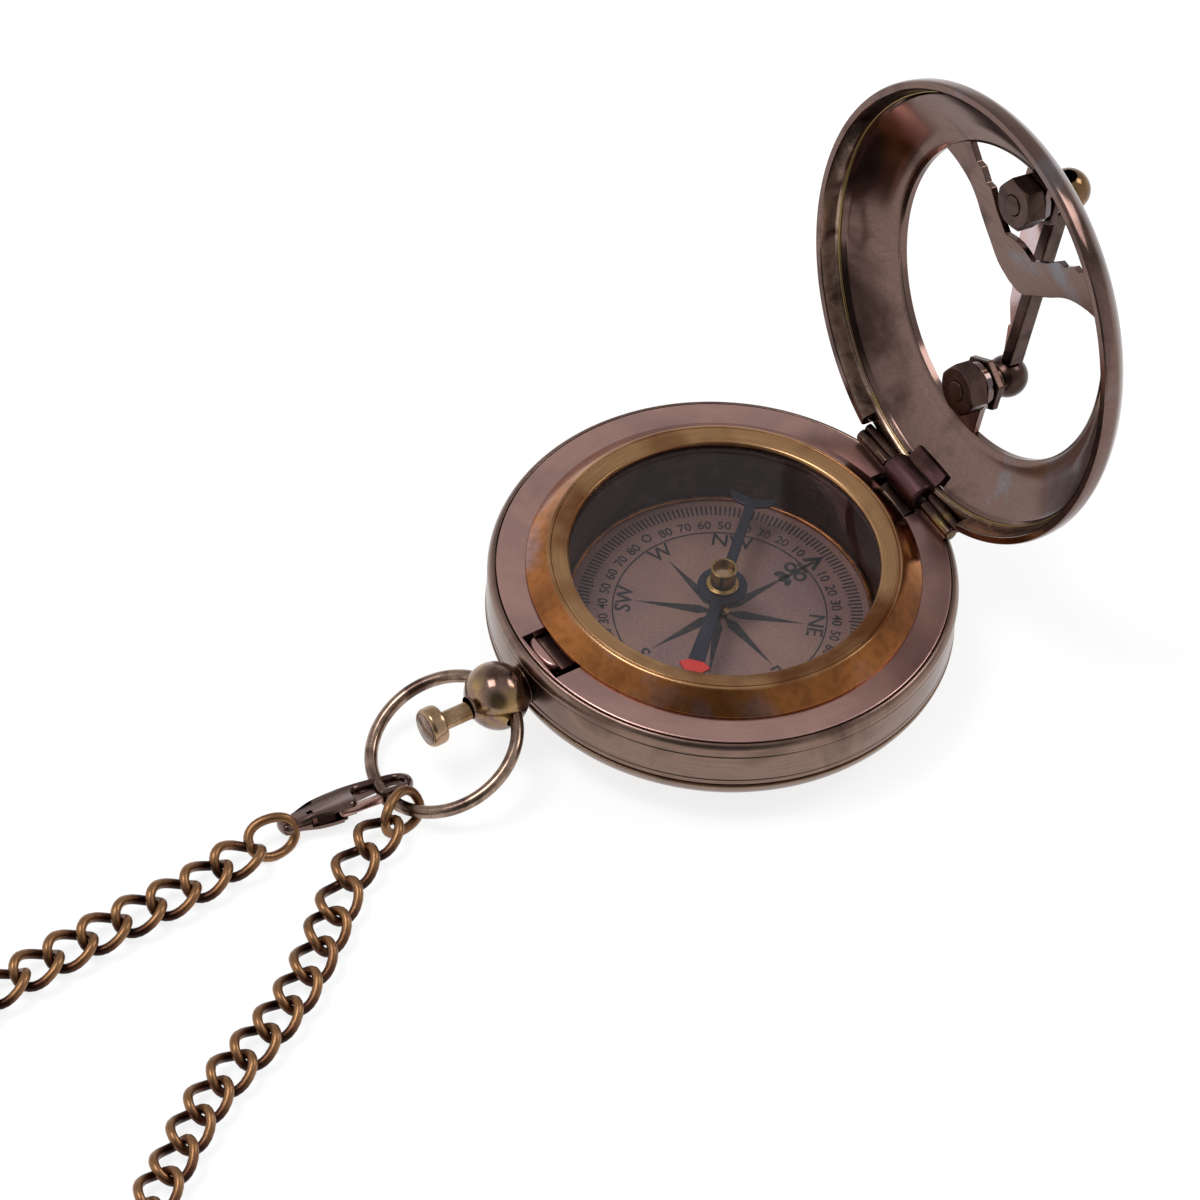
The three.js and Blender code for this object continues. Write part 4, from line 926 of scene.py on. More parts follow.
def along_curve(at, run, curve):
    """Points of a curve at distances along it."""
    return np.stack([np.interp(at, run, curve[:, i]) for i in range(3)], axis=-1)


def coil_radius(u):
    """Radius of the coil at a turn of u degrees: a spiral in and back out."""
    return COIL_RADIUS - COIL_PITCH * np.minimum(u, COIL_SWEEP - u) / 360


def coil_points(u):
    """Points of the coil at turns u in degrees: the spiral, lifted a layer half way."""
    rise = COIL_LAYER * smoothstep(COIL_SWEEP / 2 - 90, COIL_SWEEP / 2 + 90, u)
    flat = polar(coil_radius(u), COIL_START + u) + COIL_CENTRE
    return np.column_stack([flat, COIL_HEIGHT + rise])


def on_table(route, drift):
    """Stretch of the chain's route on the table, moved sideways by its drift."""
    points = np.column_stack([np.array(route) / MM, np.full(len(route), CHAIN_HEIGHT)])
    places, amounts, direction = drift
    points[:, :2] += np.interp(-points[:, 1], places, amounts)[:, None] * direction
    return points


def chain_path():
    """Whole centreline: from the clasp over the table, through the coil and back to the end link."""
    coil = coil_points(np.linspace(0, COIL_SWEEP, 60))
    out = unit(np.cross((0, 0, 1), coil[-1] - (*COIL_CENTRE, coil[-1][2])))
    upper_start = moved(np.array([[CLASP_TAIL + 2.7, 0, 0]]), CLASP) + UPPER_EXIT
    upper = np.concatenate([
        upper_start, upper_start + (-0.05, -2.4, 0), on_table(UPPER_ROUTE, UPPER_DRIFT),
        [coil[0] + (0, COIL_LEAD, 0)],
    ])
    lower_start = LINK_SEAT + LOWER_EXIT * LINK_ALONG
    lift = coil[-1] + COIL_TRAIL * out
    lift[2] = COIL_HEIGHT + TRAIL_LIFT * COIL_LAYER
    lower = np.concatenate([
        [lower_start, lower_start + 1.4 * LINK_ALONG], on_table(LOWER_ROUTE, LOWER_DRIFT), [lift],
    ])
    curve = spline(np.concatenate([upper, coil, lower[::-1]]), 8)
    steps = np.concatenate([[0], np.cumsum(np.linalg.norm(np.diff(curve, axis=0), axis=1))])
    even = np.linspace(0, steps[-1], 420)
    return along_curve(even, steps, curve), even


def crown(piece, levels, low, high):
    """Stores how far each vertex stands above its link's low side: the underside gets painted shade with
    oxide, the top a painted highlight with rubbed wear.
    """
    store = piece.data.attributes.new("crown", "FLOAT", "POINT")
    store.data.foreach_set("value", smoothstep(low, high, levels).astype(np.float32))


def loose_link(name, place, start_twist, end_twist, finish, node):
    """Single link at an end of the chain, its painted highlight and wear even all over, without painted shade.
    """
    shape, faces = link_shape(start_twist, end_twist)
    link = solid(name, (moved(shape, place), faces), merge=False, sharp=60)
    crown(link, np.full(len(shape), 0.5), -1, 1)
    return dressed(link, finish, "bail", node)


def coil_tie():
    """Leather band round the coil's strands: a flat loop with rounded corners."""
    turn_in = TIE_ANGLE - COIL_START
    strands = [coil_radius(u) for u in (turn_in, turn_in + 360)]
    inner, outer = min(strands) - 2.0, max(strands) + 2.0
    low, high, thick = 0.32, COIL_HEIGHT + COIL_LAYER + 1.8, 0.3
    loops = []
    for grow in (thick, 0):
        x0, x1, y0, y1, fillet = inner - grow, outer + grow, low - grow, high + grow, 0.8 + grow / 2
        loops.append(rounded([(x0, y0, fillet), (x1, y0, fillet), (x1, y1, fillet), (x0, y1, fillet)]))
    outside, inside = loops
    rows = ((outside, -1.0), (outside, 1.0), (inside, 1.0), (inside, -1.0))
    points = np.stack([np.column_stack([loop, np.full(len(loop), z)]) for loop, z in rows])
    points, faces = grid(points, along=True, around=True)
    place = matrix(place=(*COIL_CENTRE, 0)) @ turn(TIE_ANGLE, "Z") @ turn(90, "X")
    return solid("coil_tie", (moved(points, place), faces), bevel=0.08)


class COMPASS_OT_chain(bpy.types.Operator):
    """Curb chain, its clasp-side ring, its end link and the tie round its coil."""

    bl_idname = "compass.chain"
    bl_label = "Chain"

    def execute(self, context):
        finish = chain_bronze()
        path, run = chain_path()
        path += CHAIN_SHIFT
        pitch = sizes().link_pitch / MM
        count = round((run[-1] - LINKLESS) / pitch) + 1
        at = np.linspace(FIRST_LINK, run[-1] - LAST_LINK, count)
        at -= UPPER_SLIP * smoothstep(20, 40, at) * (1 - smoothstep(100, 140, at))
        at -= LOWER_SLIP * smoothstep(3, 9, run[-1] - at) * (1 - smoothstep(60, 100, run[-1] - at))
        centres = along_curve(at, run, path)
        ends = along_curve(at[:, None] + (-pitch / 2, pitch / 2), run, path)
        along = unit(ends[:, 1] - ends[:, 0])
        side = unit(np.cross((0, 0, 1), along))
        up = np.cross(along, side)
        roll = np.radians(np.random.default_rng(7).normal(0, LINK_ROLL, count))[:, None]
        side, up = side * np.cos(roll) + up * np.sin(roll), up * np.cos(roll) - side * np.sin(roll)
        shape, faces = link_shape(LINK_TWIST, -LINK_TWIST)
        turns = np.stack([along, side, up], axis=1)
        points = np.einsum("vi,kij->kvj", shape, turns) + centres[:, None]
        offsets = np.arange(count)[:, None, None] * len(shape)
        quads = (np.array(faces)[None] + offsets).reshape(-1, 4).tolist()
        chain = solid("chain", (points.reshape(-1, 3), quads), merge=False, sharp=60)
        # Link height sets the painted shade on the undersides and the painted highlight with rubbed wear on
        # the tops.
        crown(chain, np.tile(shape[:, 2], count), -0.9, 1.1)
        chain.data.materials.append(finish)
        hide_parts("chain_upper_run", "chain_coil", "chain_lower_run")

        hang = CLASP @ matrix(place=(CLASP_TAIL + pitch / 2, 0, 0)) @ turn(90, "X")
        ring = loose_link("clasp_link", matrix(place=RING_SHIFT) @ hang, 0, 35, finish, "clasp_ring")
        seat = LINK_SEAT + LINK_ALONG * (pitch / 2 - sizes().bail_wire / MM / 2) + END_LINK_SHIFT
        end_place = along_frame(seat, -LINK_ALONG, END_LINK_ROLL)
        end = loose_link("end_link_wire", end_place, 15, -15, finish, "end_link")
        tie = dressed(coil_tie(), leather(), "case", "chain_tie")

        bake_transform(chain)
        return {"FINISHED"}


class COMPASS_OT_clasp(bpy.types.Operator):
    """Lobster clasp: hooked body and its sprung lever."""

    bl_idname = "compass.clasp"
    bl_label = "Clasp"

    def execute(self, context):
        tail, hook = CLASP_TAIL, CLASP_HOOK
        outline = spline([
            (tail + 1, -0.6), (tail + 0.6, -1.2), (tail - 0.7, -1.2), (10.4, -1.6), (8.4, -2.05), (6.4, -2.2),
            (4, -2.1), (2 - hook, -1.95), (0.75 - hook, -1.45), (0.1 - hook, -0.55), (0.1 - hook, 0.55),
            (0.75 - hook, 1.45), (1.5 - hook, 1.9), (2.45, 2), (2.45, 1.1), (1.6 - hook, 0.95),
            (1.15 - hook, 0.45), (1.15 - hook, -0.45), (1.6 - hook, -0.95), (2.4 - hook, -1.1), (3.6, -1.1),
            (4.6, -0.8), (5, 0), (5.1, 1), (5.7, 1.95), (7.2, 2.1), (8.6, 1.95), (10.4, 1.5),
            (tail - 0.7, 1.2), (tail + 0.6, 1.2), (tail + 1, 0.6),
        ], 3, closed=True)
        along = outline[:, 0]
        half = 0.6 + 0.4 * smoothstep(-1, 5, along) * (1 - smoothstep(9.5, 12.5, along))
        body = solid("clasp", pillow(outline, half, 0.3, CLASP))
        hole = rod(0.58, -3, 3, 24, CLASP @ matrix(place=(tail, 0, 0)))
        recess = rounded([(4.5, 0.95, 0), (9.6, 0.75, 0.2), (10.6, 1.1, 0.3), (10.6, 3, 0), (4.5, 3, 0)])
        window = rounded([(9.9, -0.1, 0.1), (10.6, 0, 0.1), (10.6, 0.6, 0.1), (9.9, 0.7, 0.1)])
        carve(body, extrusion(recess, -0.5, 0.5, CLASP), hole, extrusion(window, -3, 3, CLASP), sharp=40)
        carve(body, block(4.5, 7.2, 0.95, 3, -3, 0, CLASP), sharp=40)
        dressed(body, lid_bronze(), "bail", "clasp_body")
        lever_outline = spline([
            (2.6, 1.15), (5.2, 1.1), (7, 1.05), (7.5, 1.3), (7.3, 1.8), (6, 2), (4, 2.02), (2.6, 2),
        ], 4, closed=True)
        lever = solid("clasp_lever", pillow(lever_outline, 0.4, 0.14, CLASP))
        dressed(lever, rose_bronze(), "gate", "clasp_gate")
        pin = round_bar(0.3, 0.85, (0, 0, 0), 0.1, CLASP @ matrix(place=(6.9, 1.5, 0)))
        dressed(solid("lever_pin", pin), dark_bronze(), "bail", "clasp_pin")
        return {"FINISHED"}


class COMPASS_OT_bail(bpy.types.Operator):
    """Bail ring: bent wire whose ends turn into the pendant."""

    bl_idname = "compass.bail"
    bl_label = "Bail ring"

    def execute(self, context):
        gap = math.asin(BAIL_END / BAIL_RADIUS)
        angle = np.linspace(gap, 2 * math.pi - gap, 49)
        arc = on_bail(BAIL_RADIUS * np.sin(angle), BAIL_CENTRE - BAIL_RADIUS * np.cos(angle))
        path = np.concatenate([on_bail([1.9, 2.6], [0, 0]), arc, on_bail([-2.6, -1.9], [0, 0])])
        ring = solid("bail", wire(spline(path, 3), sizes().bail_wire / MM / 2, BAIL_NORMAL, 24))
        dressed(ring, mauve_bronze(), "bail", "bail_ring")
        return {"FINISHED"}


class COMPASS_OT_pendant(bpy.types.Operator):
    """Pendant ball with its collar, the push button, its stem and the latch."""

    bl_idname = "compass.pendant"
    bl_label = "Pendant and button"

    def execute(self, context):
        foot = -PENDANT[1] - CASE_RADIUS - 0.15
        ball = polar(1, np.linspace(57, -70, 40)) * (PENDANT_RADIUS + 0.4, PENDANT_RADIUS + 0.1)
        collar = rounded([(1.25, foot, 0), (2.2, foot, 0.05), (2.2, foot - 0.1, 0.05)])
        profile = np.concatenate([collar, ball, [(1.25, -PENDANT_RADIUS - 0.15)]])
        pendant = solid("pendant_ball", lathe(profile, 96, matrix(place=PENDANT + PENDANT_SHIFT) @ ALONG_Y))
        carve(pendant, rod(0.95, -6, 6, 32, matrix(place=PENDANT) @ ALONG_X))
        dressed(pendant, stained_bronze(), "case", "pendant")

        edge = BUTTON_RADIUS
        place = matrix(place=(0, BUTTON_Y + 0.7, PENDANT[2])) @ ALONG_Y
        head = [
            (0, 0.9, 0), (edge - 0.1, 0.9, 0.2), (edge, 0.5, 0.2), (edge, -0.55, 0.2),
            (edge - 0.25, -0.85, 0.1), (edge - 0.55, -0.8, 0.1), (edge - 0.75, -0.72, 0.1), (0, -0.9, 0),
        ]
        turned("button", head, 64, handled_bronze(), "push_button", "button_head", place=place)
        face = [(0, -0.8, 0), (edge - 0.5, -0.7, 0), (edge - 0.4, -0.85, 0.1), (0, -1.05, 0)]
        turned("button_face", face, 48, mauve_bronze(), "push_button", place=place)
        low, high = extent("button_stem")
        reach = high[1] - low[1]
        stem = [
            (0, 0, 0), (1, 0, 0.05), (1, reach - 0.5, 0), (1.7, reach - 0.5, 0.1), (1.7, reach, 0.1),
            (0, reach, 0),
        ]
        place = matrix(place=(0, low[1], PENDANT[2])) @ ALONG_Y
        turned("stem", stem, 32, handled_bronze(), "push_button", "button_stem", place=place)

        low, high = extent("latch")
        top, tip = PLATE_FOOT - 0.2, high[2]
        a = np.linspace(0, np.pi, 17)
        tongue = np.stack([2.5 * np.cos(a), -21.95 - 1.45 * np.sin(a) ** 0.7], axis=-1)
        latch = solid(
            "latch_tongue",
            pillow(tongue, (tip - top) / 2 + 0.2, 0.4, matrix(place=(0, 0, (tip + top) / 2 - 0.2))),
            block(-2.4, 2.4, low[1] + 0.5, high[1], low[2], top), sharp=40,
        )
        dressed(latch, rose_bronze(), "latch_slider", "latch")
        painted("latch_spring", dark_bronze())
        return {"FINISHED"}


class COMPASS_OT_case(bpy.types.Operator):
    """Case: rounded back, beaded side band and the slotted top plate."""

    bl_idname = "compass.case"
    bl_label = "Case"

    def execute(self, context):
        finish = brown_bronze()
        t = np.linspace(0, np.pi / 2, 28)
        bend = np.stack([np.sin(t), 1 - np.cos(t)], axis=-1)
        rim, low, inside = CASE_RADIUS, BACK_HEIGHT, CASE_RADIUS - 1.6
        pan = bend * (rim - FOOT_RADIUS, low) + (FOOT_RADIUS, 0) + np.sin(2 * t)[:, None] * (-0.22, 0.18)
        edge = [(rim - 0.01, low - 0.15), (rim - 0.06, low - 0.05), (rim - 0.2, low)]
        spigot = [(rim - 0.9, low), (rim - 0.9, low + 1.5), (inside, low + 1.5)]
        hollow = (bend * (inside - FOOT_RADIUS, 4.5) + (FOOT_RADIUS, 0.9))[::-1]
        profile = np.concatenate([[(0, 0)], pan[:-2], edge, spigot, hollow, [(0, 0.9)]])
        back = solid("back", lathe(profile, 192, ring=False), sharp=28)
        bore = rod(1.25, -30, -17, 32, matrix(place=(0, 0, PENDANT[2])) @ ALONG_Y)
        carve(back, bore, sharp=28)
        dressed(back, finish, "case", "case_back")

        wall, low, top = rim - 0.06, BACK_HEIGHT + 0.1, PLATE_TOP
        seat, inner = PLATE_RADIUS + 0.1, rim - 0.75
        band = rounded([
            (inner, low, 0), (wall - 0.3, low, 0), (wall, low + 0.2, 0.15), (wall, low + 0.75, 0.03),
            (wall - 0.13, low + 0.85, 0.05), (wall, low + 0.95, 0.03), (wall, top - 1.75, 0.1),
            (wall - 0.14, top - 1.6, 0.05), (rim, top - 1.45, 0.1), (rim, top - 0.85, 0.3),
            (rim - 0.3, top - 0.2, 0.3), (seat + 0.15, top - 0.05, 0.15), (seat, top - 0.15, 0.05),
            (seat, top - 1.05, 0), (inner - 0.9, top - 1.05, 0), (inner - 0.9, top - 1.85, 0),
            (inner, top - 1.85, 0),
        ])
        side = solid("band", lathe(band, 192), sharp=28)
        carve(side, bore, block(*HINGE_SLOT, top - 1.6, top + 1), sharp=28)
        dressed(side, finish, "case", "case_band")

        plate_profile = rounded([
            (PLATE_HOLE, PLATE_FOOT, 0), (PLATE_RADIUS, PLATE_FOOT, 0), (PLATE_RADIUS, top, 0.2),
            (PLATE_HOLE, top, 0.1),
        ])
        plate = solid("plate", lathe(plate_profile, 192), sharp=28)
        carve(plate, *(block(*slot, top - 2, top + 1) for slot in (LATCH_SLOT, HINGE_SLOT)), sharp=28)
        dressed(plate, rose_bronze(), "case", "top_plate")
        painted("lid_spring", dark_bronze())
        return {"FINISHED"}


class COMPASS_OT_bezel(bpy.types.Operator):
    """Bezel, glass and gasket."""

    bl_idname = "compass.bezel"
    bl_label = "Bezel and glass"

    def execute(self, context):
        foot, top, outer, bore = BEZEL_FOOT, BEZEL_TOP - 0.05, BEZEL_FOOT_RADIUS, BEZEL_BORE
        shoulder, seat, socket = BEZEL_TOP_RADIUS, CUP_FLANGE + 0.1, GLASS_RADIUS + 0.1
        ring = [
            (seat, foot, 0), (outer, foot, 0.05), (outer, foot + 0.28, 0.14),
            (shoulder + 0.2, top - 0.25, 0.12), (shoulder - 0.1, top, 0.12),
            (shoulder - 0.33, top + 0.02, 0.03), (shoulder - 0.39, top - 0.08, 0.03),
            (shoulder - 0.45, top + 0.03, 0.03), (shoulder - 0.55, top + 0.05, 0.05),
            (bore + 0.15, top - 0.25, 0.15), (bore, top - 0.45, 0.1), (bore, GLASS_TOP + 0.05, 0),
            (socket, GLASS_TOP + 0.05, 0), (socket, GLASS_FOOT - 0.35, 0), (seat, GLASS_FOOT - 0.35, 0),
        ]
        turned("bezel_ring", ring, 192, bezel_brass(), "case", "bezel", ring=True, sharp=28)
        pane = [
            (0, GLASS_FOOT, 0), (GLASS_RADIUS, GLASS_FOOT, 0.1), (GLASS_RADIUS, GLASS_TOP, 0.1),
            (0, GLASS_TOP, 0),
        ]
        turned("pane", pane, 128, clear_glass(), "case", "glass")
        painted("glass_ring", rubber())
        return {"FINISHED"}


def prisms(outlines, low, high):
    """Many flat pieces at once: outlines of shape (count, corners, 2) drawn up from low to high."""
    count, corners = outlines.shape[:2]
    levels = np.array([low, high])[None, :, None, None]
    flat = np.broadcast_to(outlines[:, None], (count, 2, corners, 2))
    points = np.concatenate([flat, np.broadcast_to(levels, (count, 2, corners, 1))], axis=-1)
    index = np.arange(count * 2 * corners).reshape(count, 2, corners)
    after = np.roll(index, -1, axis=2)
    walls = np.stack([index[:, 0], after[:, 0], after[:, 1], index[:, 1]], axis=-1).reshape(-1, 4).tolist()
    return points.reshape(-1, 3), walls + index.reshape(-1, corners).tolist()


def lettering(text, height, radius, degrees, low, high):
    """Flat letters whose tops point outwards, centred at a radius and bearing."""
    font = bpy.data.curves.new("lettering", "FONT")
    font.body = text
    font.align_x = "CENTER"
    font.resolution_u = 3
    font.offset = 0.012
    font.extrude = 0.1
    writing = bpy.data.objects.new("lettering", font)
    bpy.context.collection.objects.link(writing)
    mesh = writing.evaluated_get(bpy.context.evaluated_depsgraph_get()).to_mesh()
    points = np.empty(len(mesh.vertices) * 3)
    mesh.vertices.foreach_get("co", points)
    points = points.reshape(-1, 3)
    faces = [list(face.vertices) for face in mesh.polygons]
    bpy.data.objects.remove(writing)
    bottom, top = points[:, 1].min(), points[:, 1].max()
    size = height / MM / (top - bottom)
    across, rise = points[:, 0] * size, (points[:, 1] - (bottom + top) / 2) * size
    a = math.radians(degrees)
    outward, right = np.array((math.cos(a), math.sin(a))), np.array((math.sin(a), -math.cos(a)))
    flat = (radius + rise)[:, None] * outward + across[:, None] * right
    level = np.where(points[:, 2] > 0, high, low)
    return np.column_stack([flat, level]), faces


class COMPASS_OT_dial(bpy.types.Operator):
    """Cup, printed dial and the copper ring round it."""

    bl_idname = "compass.dial"
    bl_label = "Dial"

    def execute(self, context):
        floor, flange = DIAL_FOOT - 0.05, extent("inner_cup")[1][2]
        cup = [
            (0, floor - 0.5, 0), (CUP_RADIUS + 0.5, floor - 0.5, 0.3), (CUP_RADIUS + 0.5, flange - 0.48, 0),
            (CUP_FLANGE, flange - 0.48, 0), (CUP_FLANGE, flange, 0.1), (CUP_RADIUS, flange, 0.3),
            (CUP_RADIUS, floor, 0.2), (0, floor, 0),
        ]
        turned("cup", cup, 160, cup_bronze(), "case", "inner_cup")
        disc = [
            (0, DIAL_FOOT, 0), (DIAL_RADIUS, DIAL_FOOT, 0.05), (DIAL_RADIUS, DIAL_TOP, 0.05),
            (0, DIAL_TOP, 0),
        ]
        turned("dial_plate", disc, 128, dial_print(), "case", "dial")
        outer, (low, high) = reach_x("dial_ring"), heights("dial_ring")
        ring = [(outer - 0.55, low, 0.1), (outer, low, 0.1), (outer, high, 0.18), (outer - 0.55, high, 0.18)]
        turned("copper_ring", ring, 128, copper(), "case", "dial_ring", ring=True)
        dressed(solid("dial_marks", *self.marks(), sharp=60), ink(), "case")
        painted("pivot_pin", brass())
        return {"FINISHED"}

    def marks(self):
        """Degree ticks and numbers, the rose's rays, the compass points and the north fleur."""
        s = sizes()
        low, high = DIAL_TOP + 0.01, DIAL_TOP + 0.04
        north = 90 + math.degrees(s.dial_turn)
        bearing = north + np.arange(0, 360, s.tick_degrees)[:, None]
        tens = np.isclose(np.mod(bearing - north, 10), 0)
        inner, outer = np.where(tens, 13.7, 13.9), 15.2
        half = np.degrees(0.1 / 14.4)
        corners = ((inner, -half), (inner, half), (outer, half), (outer, -half))
        ticks = np.concatenate([polar(radius, bearing + aside) for radius, aside in corners], axis=1)
        rays = north + np.arange(0, 360, 45)[:, None]
        spread = math.degrees(0.58 / 2.3)
        corners = ((2.3, -spread), (9.0, 0), (2.3, spread), (0.7, 0))
        star = np.concatenate([polar(radius, rays + aside) for radius, aside in corners], axis=1)
        shapes = [prisms(ticks, low, high), prisms(star, low, high)]
        for radius, width in ((11.45, 0.16), (1.0, 0.2)):
            shapes.append(tube(radius - width, radius, low, high, 96))
        for quarter in (0, 180):
            for side in (-1, 1):
                for number in range(10, 90, 10):
                    place = north + quarter + side * number
                    shapes.append(lettering(str(number), s.number_height, 12.45, place, low, high))
        points = ("NW", "W", "SW", "S", "SE", "E", "NE")
        for degrees, words in zip(range(45, 360, 45), points):
            shapes.append(lettering(words, s.letter_height, 10.25, north + degrees, low, high))
        for degrees in (90, 270):
            shapes.append(lettering("O", s.number_height, 12.75, north + degrees, low, high))
        arrow = np.array([(14.0, 0), (11.9, 1.05), (11.85, 0.6), (13.0, 0), (11.85, -0.6), (11.9, -1.05)])
        shaft = np.array([(12.7, 0.14), (8.6, 0.2), (8.6, -0.2), (12.7, -0.14)])
        foot = np.array([(7.9, 0), (8.3, 0.45), (8.0, 1.0), (8.5, 1.2), (9.1, 0.75), (9.2, 0)])
        foot = np.concatenate([foot, foot[-2:0:-1] * (1, -1)])
        bar = np.array([(11.2, -0.8), (11.2, 0.8), (10.95, 0.8), (10.95, -0.8)])
        spin = polar(1, np.array((north, north + 90)))
        shapes += [prisms((outline @ spin)[None], low, high) for outline in (arrow, shaft, foot, bar)]
        for side in (-1, 1):
            loop = matrix(place=(*(np.array((10.15, 0.82 * side)) @ spin), 0))
            shapes.append(tube(0.36, 0.7, low, high, 32, loop))
        return shapes


class COMPASS_OT_needle(bpy.types.Operator):
    """Needle with its round middle, and the cap on it."""

    bl_idname = "compass.needle"
    bl_label = "Needle"

    def execute(self, context):
        hub, slim, head, wing = 2.65, 0.58, 11.2, 2.55
        meet = math.degrees(math.asin(slim / hub))
        moon = np.radians(np.linspace(78, 0, 10))
        side = np.concatenate([
            [(13.9, 0), (head + 0.5, 1.7), (head, 0.9)],
            polar(hub, np.linspace(meet, 180 - meet, 24)),
            np.stack([-11.9 - 1.8 * (1 - np.sin(moon)), wing * np.cos(moon)], axis=-1),
            [(-13.3, 1.3)],
        ])
        outline = np.concatenate([side, [(-13.1, 0)], side[:0:-1] * (1, -1)])
        place = turn(math.degrees(sizes().needle_turn), "Z")
        bar = solid("needle_bar", extrusion(outline, NEEDLE_FOOT, NEEDLE_TOP, place), bevel=0.08)
        dressed(bar, needle_steel(), "compass_needle", "needle")
        foot, top = CAP_FOOT, CAP_TOP
        cap = [
            (0, foot + 1.2, 0), (0.75, foot + 0.9, 0.1), (0.75, foot, 0.05), (1.75, foot, 0.1),
            (1.75, foot + 0.32, 0.1), (1.34, foot + 0.42, 0.06), (1.32, top - 0.2, 0.1),
            (1.46, top + 0.05, 0.1), (1.38, top + 0.15, 0.06), (1.16, top + 0.15, 0.06),
            (1.1, top - 0.75, 0.1), (0, top - 0.75, 0),
        ]
        turned("cap", cap, 64, brass(), "compass_needle", "needle_cap")
        jewel = [(0, top - 0.8, 0), (1.08, top - 0.8, 0), (1.08, top - 0.6, 0.1), (0, top - 0.5, 0)]
        turned("jewel", jewel, 48, handled_bronze(), "compass_needle")
        return {"FINISHED"}


class COMPASS_OT_hinge(bpy.types.Operator):
    """Case knuckles with their feet, and the lid's knuckle with its leaf."""

    bl_idname = "compass.hinge"
    bl_label = "Hinge"

    def execute(self, context):
        inner, outer = BARREL_ENDS
        y, z = HINGE[1] - 0.85, HINGE[2] - 0.55
        for side, node in ((-1, "hinge_knuckle_left"), (1, "hinge_knuckle_right")):
            middle = side * (inner + outer) / 2
            barrel = round_bar(BARREL_RADIUS, (outer - inner) / 2, (middle, y, z), 0.35)
            x0, x1 = sorted((side * (inner + 0.15), side * (outer - 0.5)))
            foot = block(x0, x1, y - 0.6, y + 0.6, PLATE_TOP + 0.02, z)
            knuckle = solid(node.replace("hinge_", ""), barrel, foot, bevel=0.08)
            dressed(knuckle, knuckle_bronze(), "case", node)
        painted("hinge_pin", knuckle_bronze())
        barrel = round_bar(LID_BARREL_RADIUS, LID_BARREL_HALF, HINGE + (0, -0.5, -0.3), 0.5)
        leaf = np.array([(-1.1, 1.75), (-0.7, 2.25), (-1.4, 2.85), (-2.2, 3.2), (-2.3, 2.8), (-1.75, 2.45)])
        side_view = np.array(((0, 0, 1, 0), (1, 0, 0, 0), (0, 1, 0, 0), (0, 0, 0, 1)))
        half = LID_BARREL_HALF - 0.3
        strap = extrusion(leaf + (HINGE[1], LIP), -half, half, OPEN @ side_view)
        dressed(solid("lid_barrel", barrel, strap, bevel=0.06), cup_bronze(), "lid", "lid_knuckle")
        return {"FINISHED"}


def hinge_notch(depth):
    """Room for the hinge in the shut lid's edge, to a depth before the hinge's axis."""
    return block(-NOTCH_HALF, NOTCH_HALF, HINGE[1] - depth, HINGE[1] + 3, LIP - 1, NOTCH_TOP)


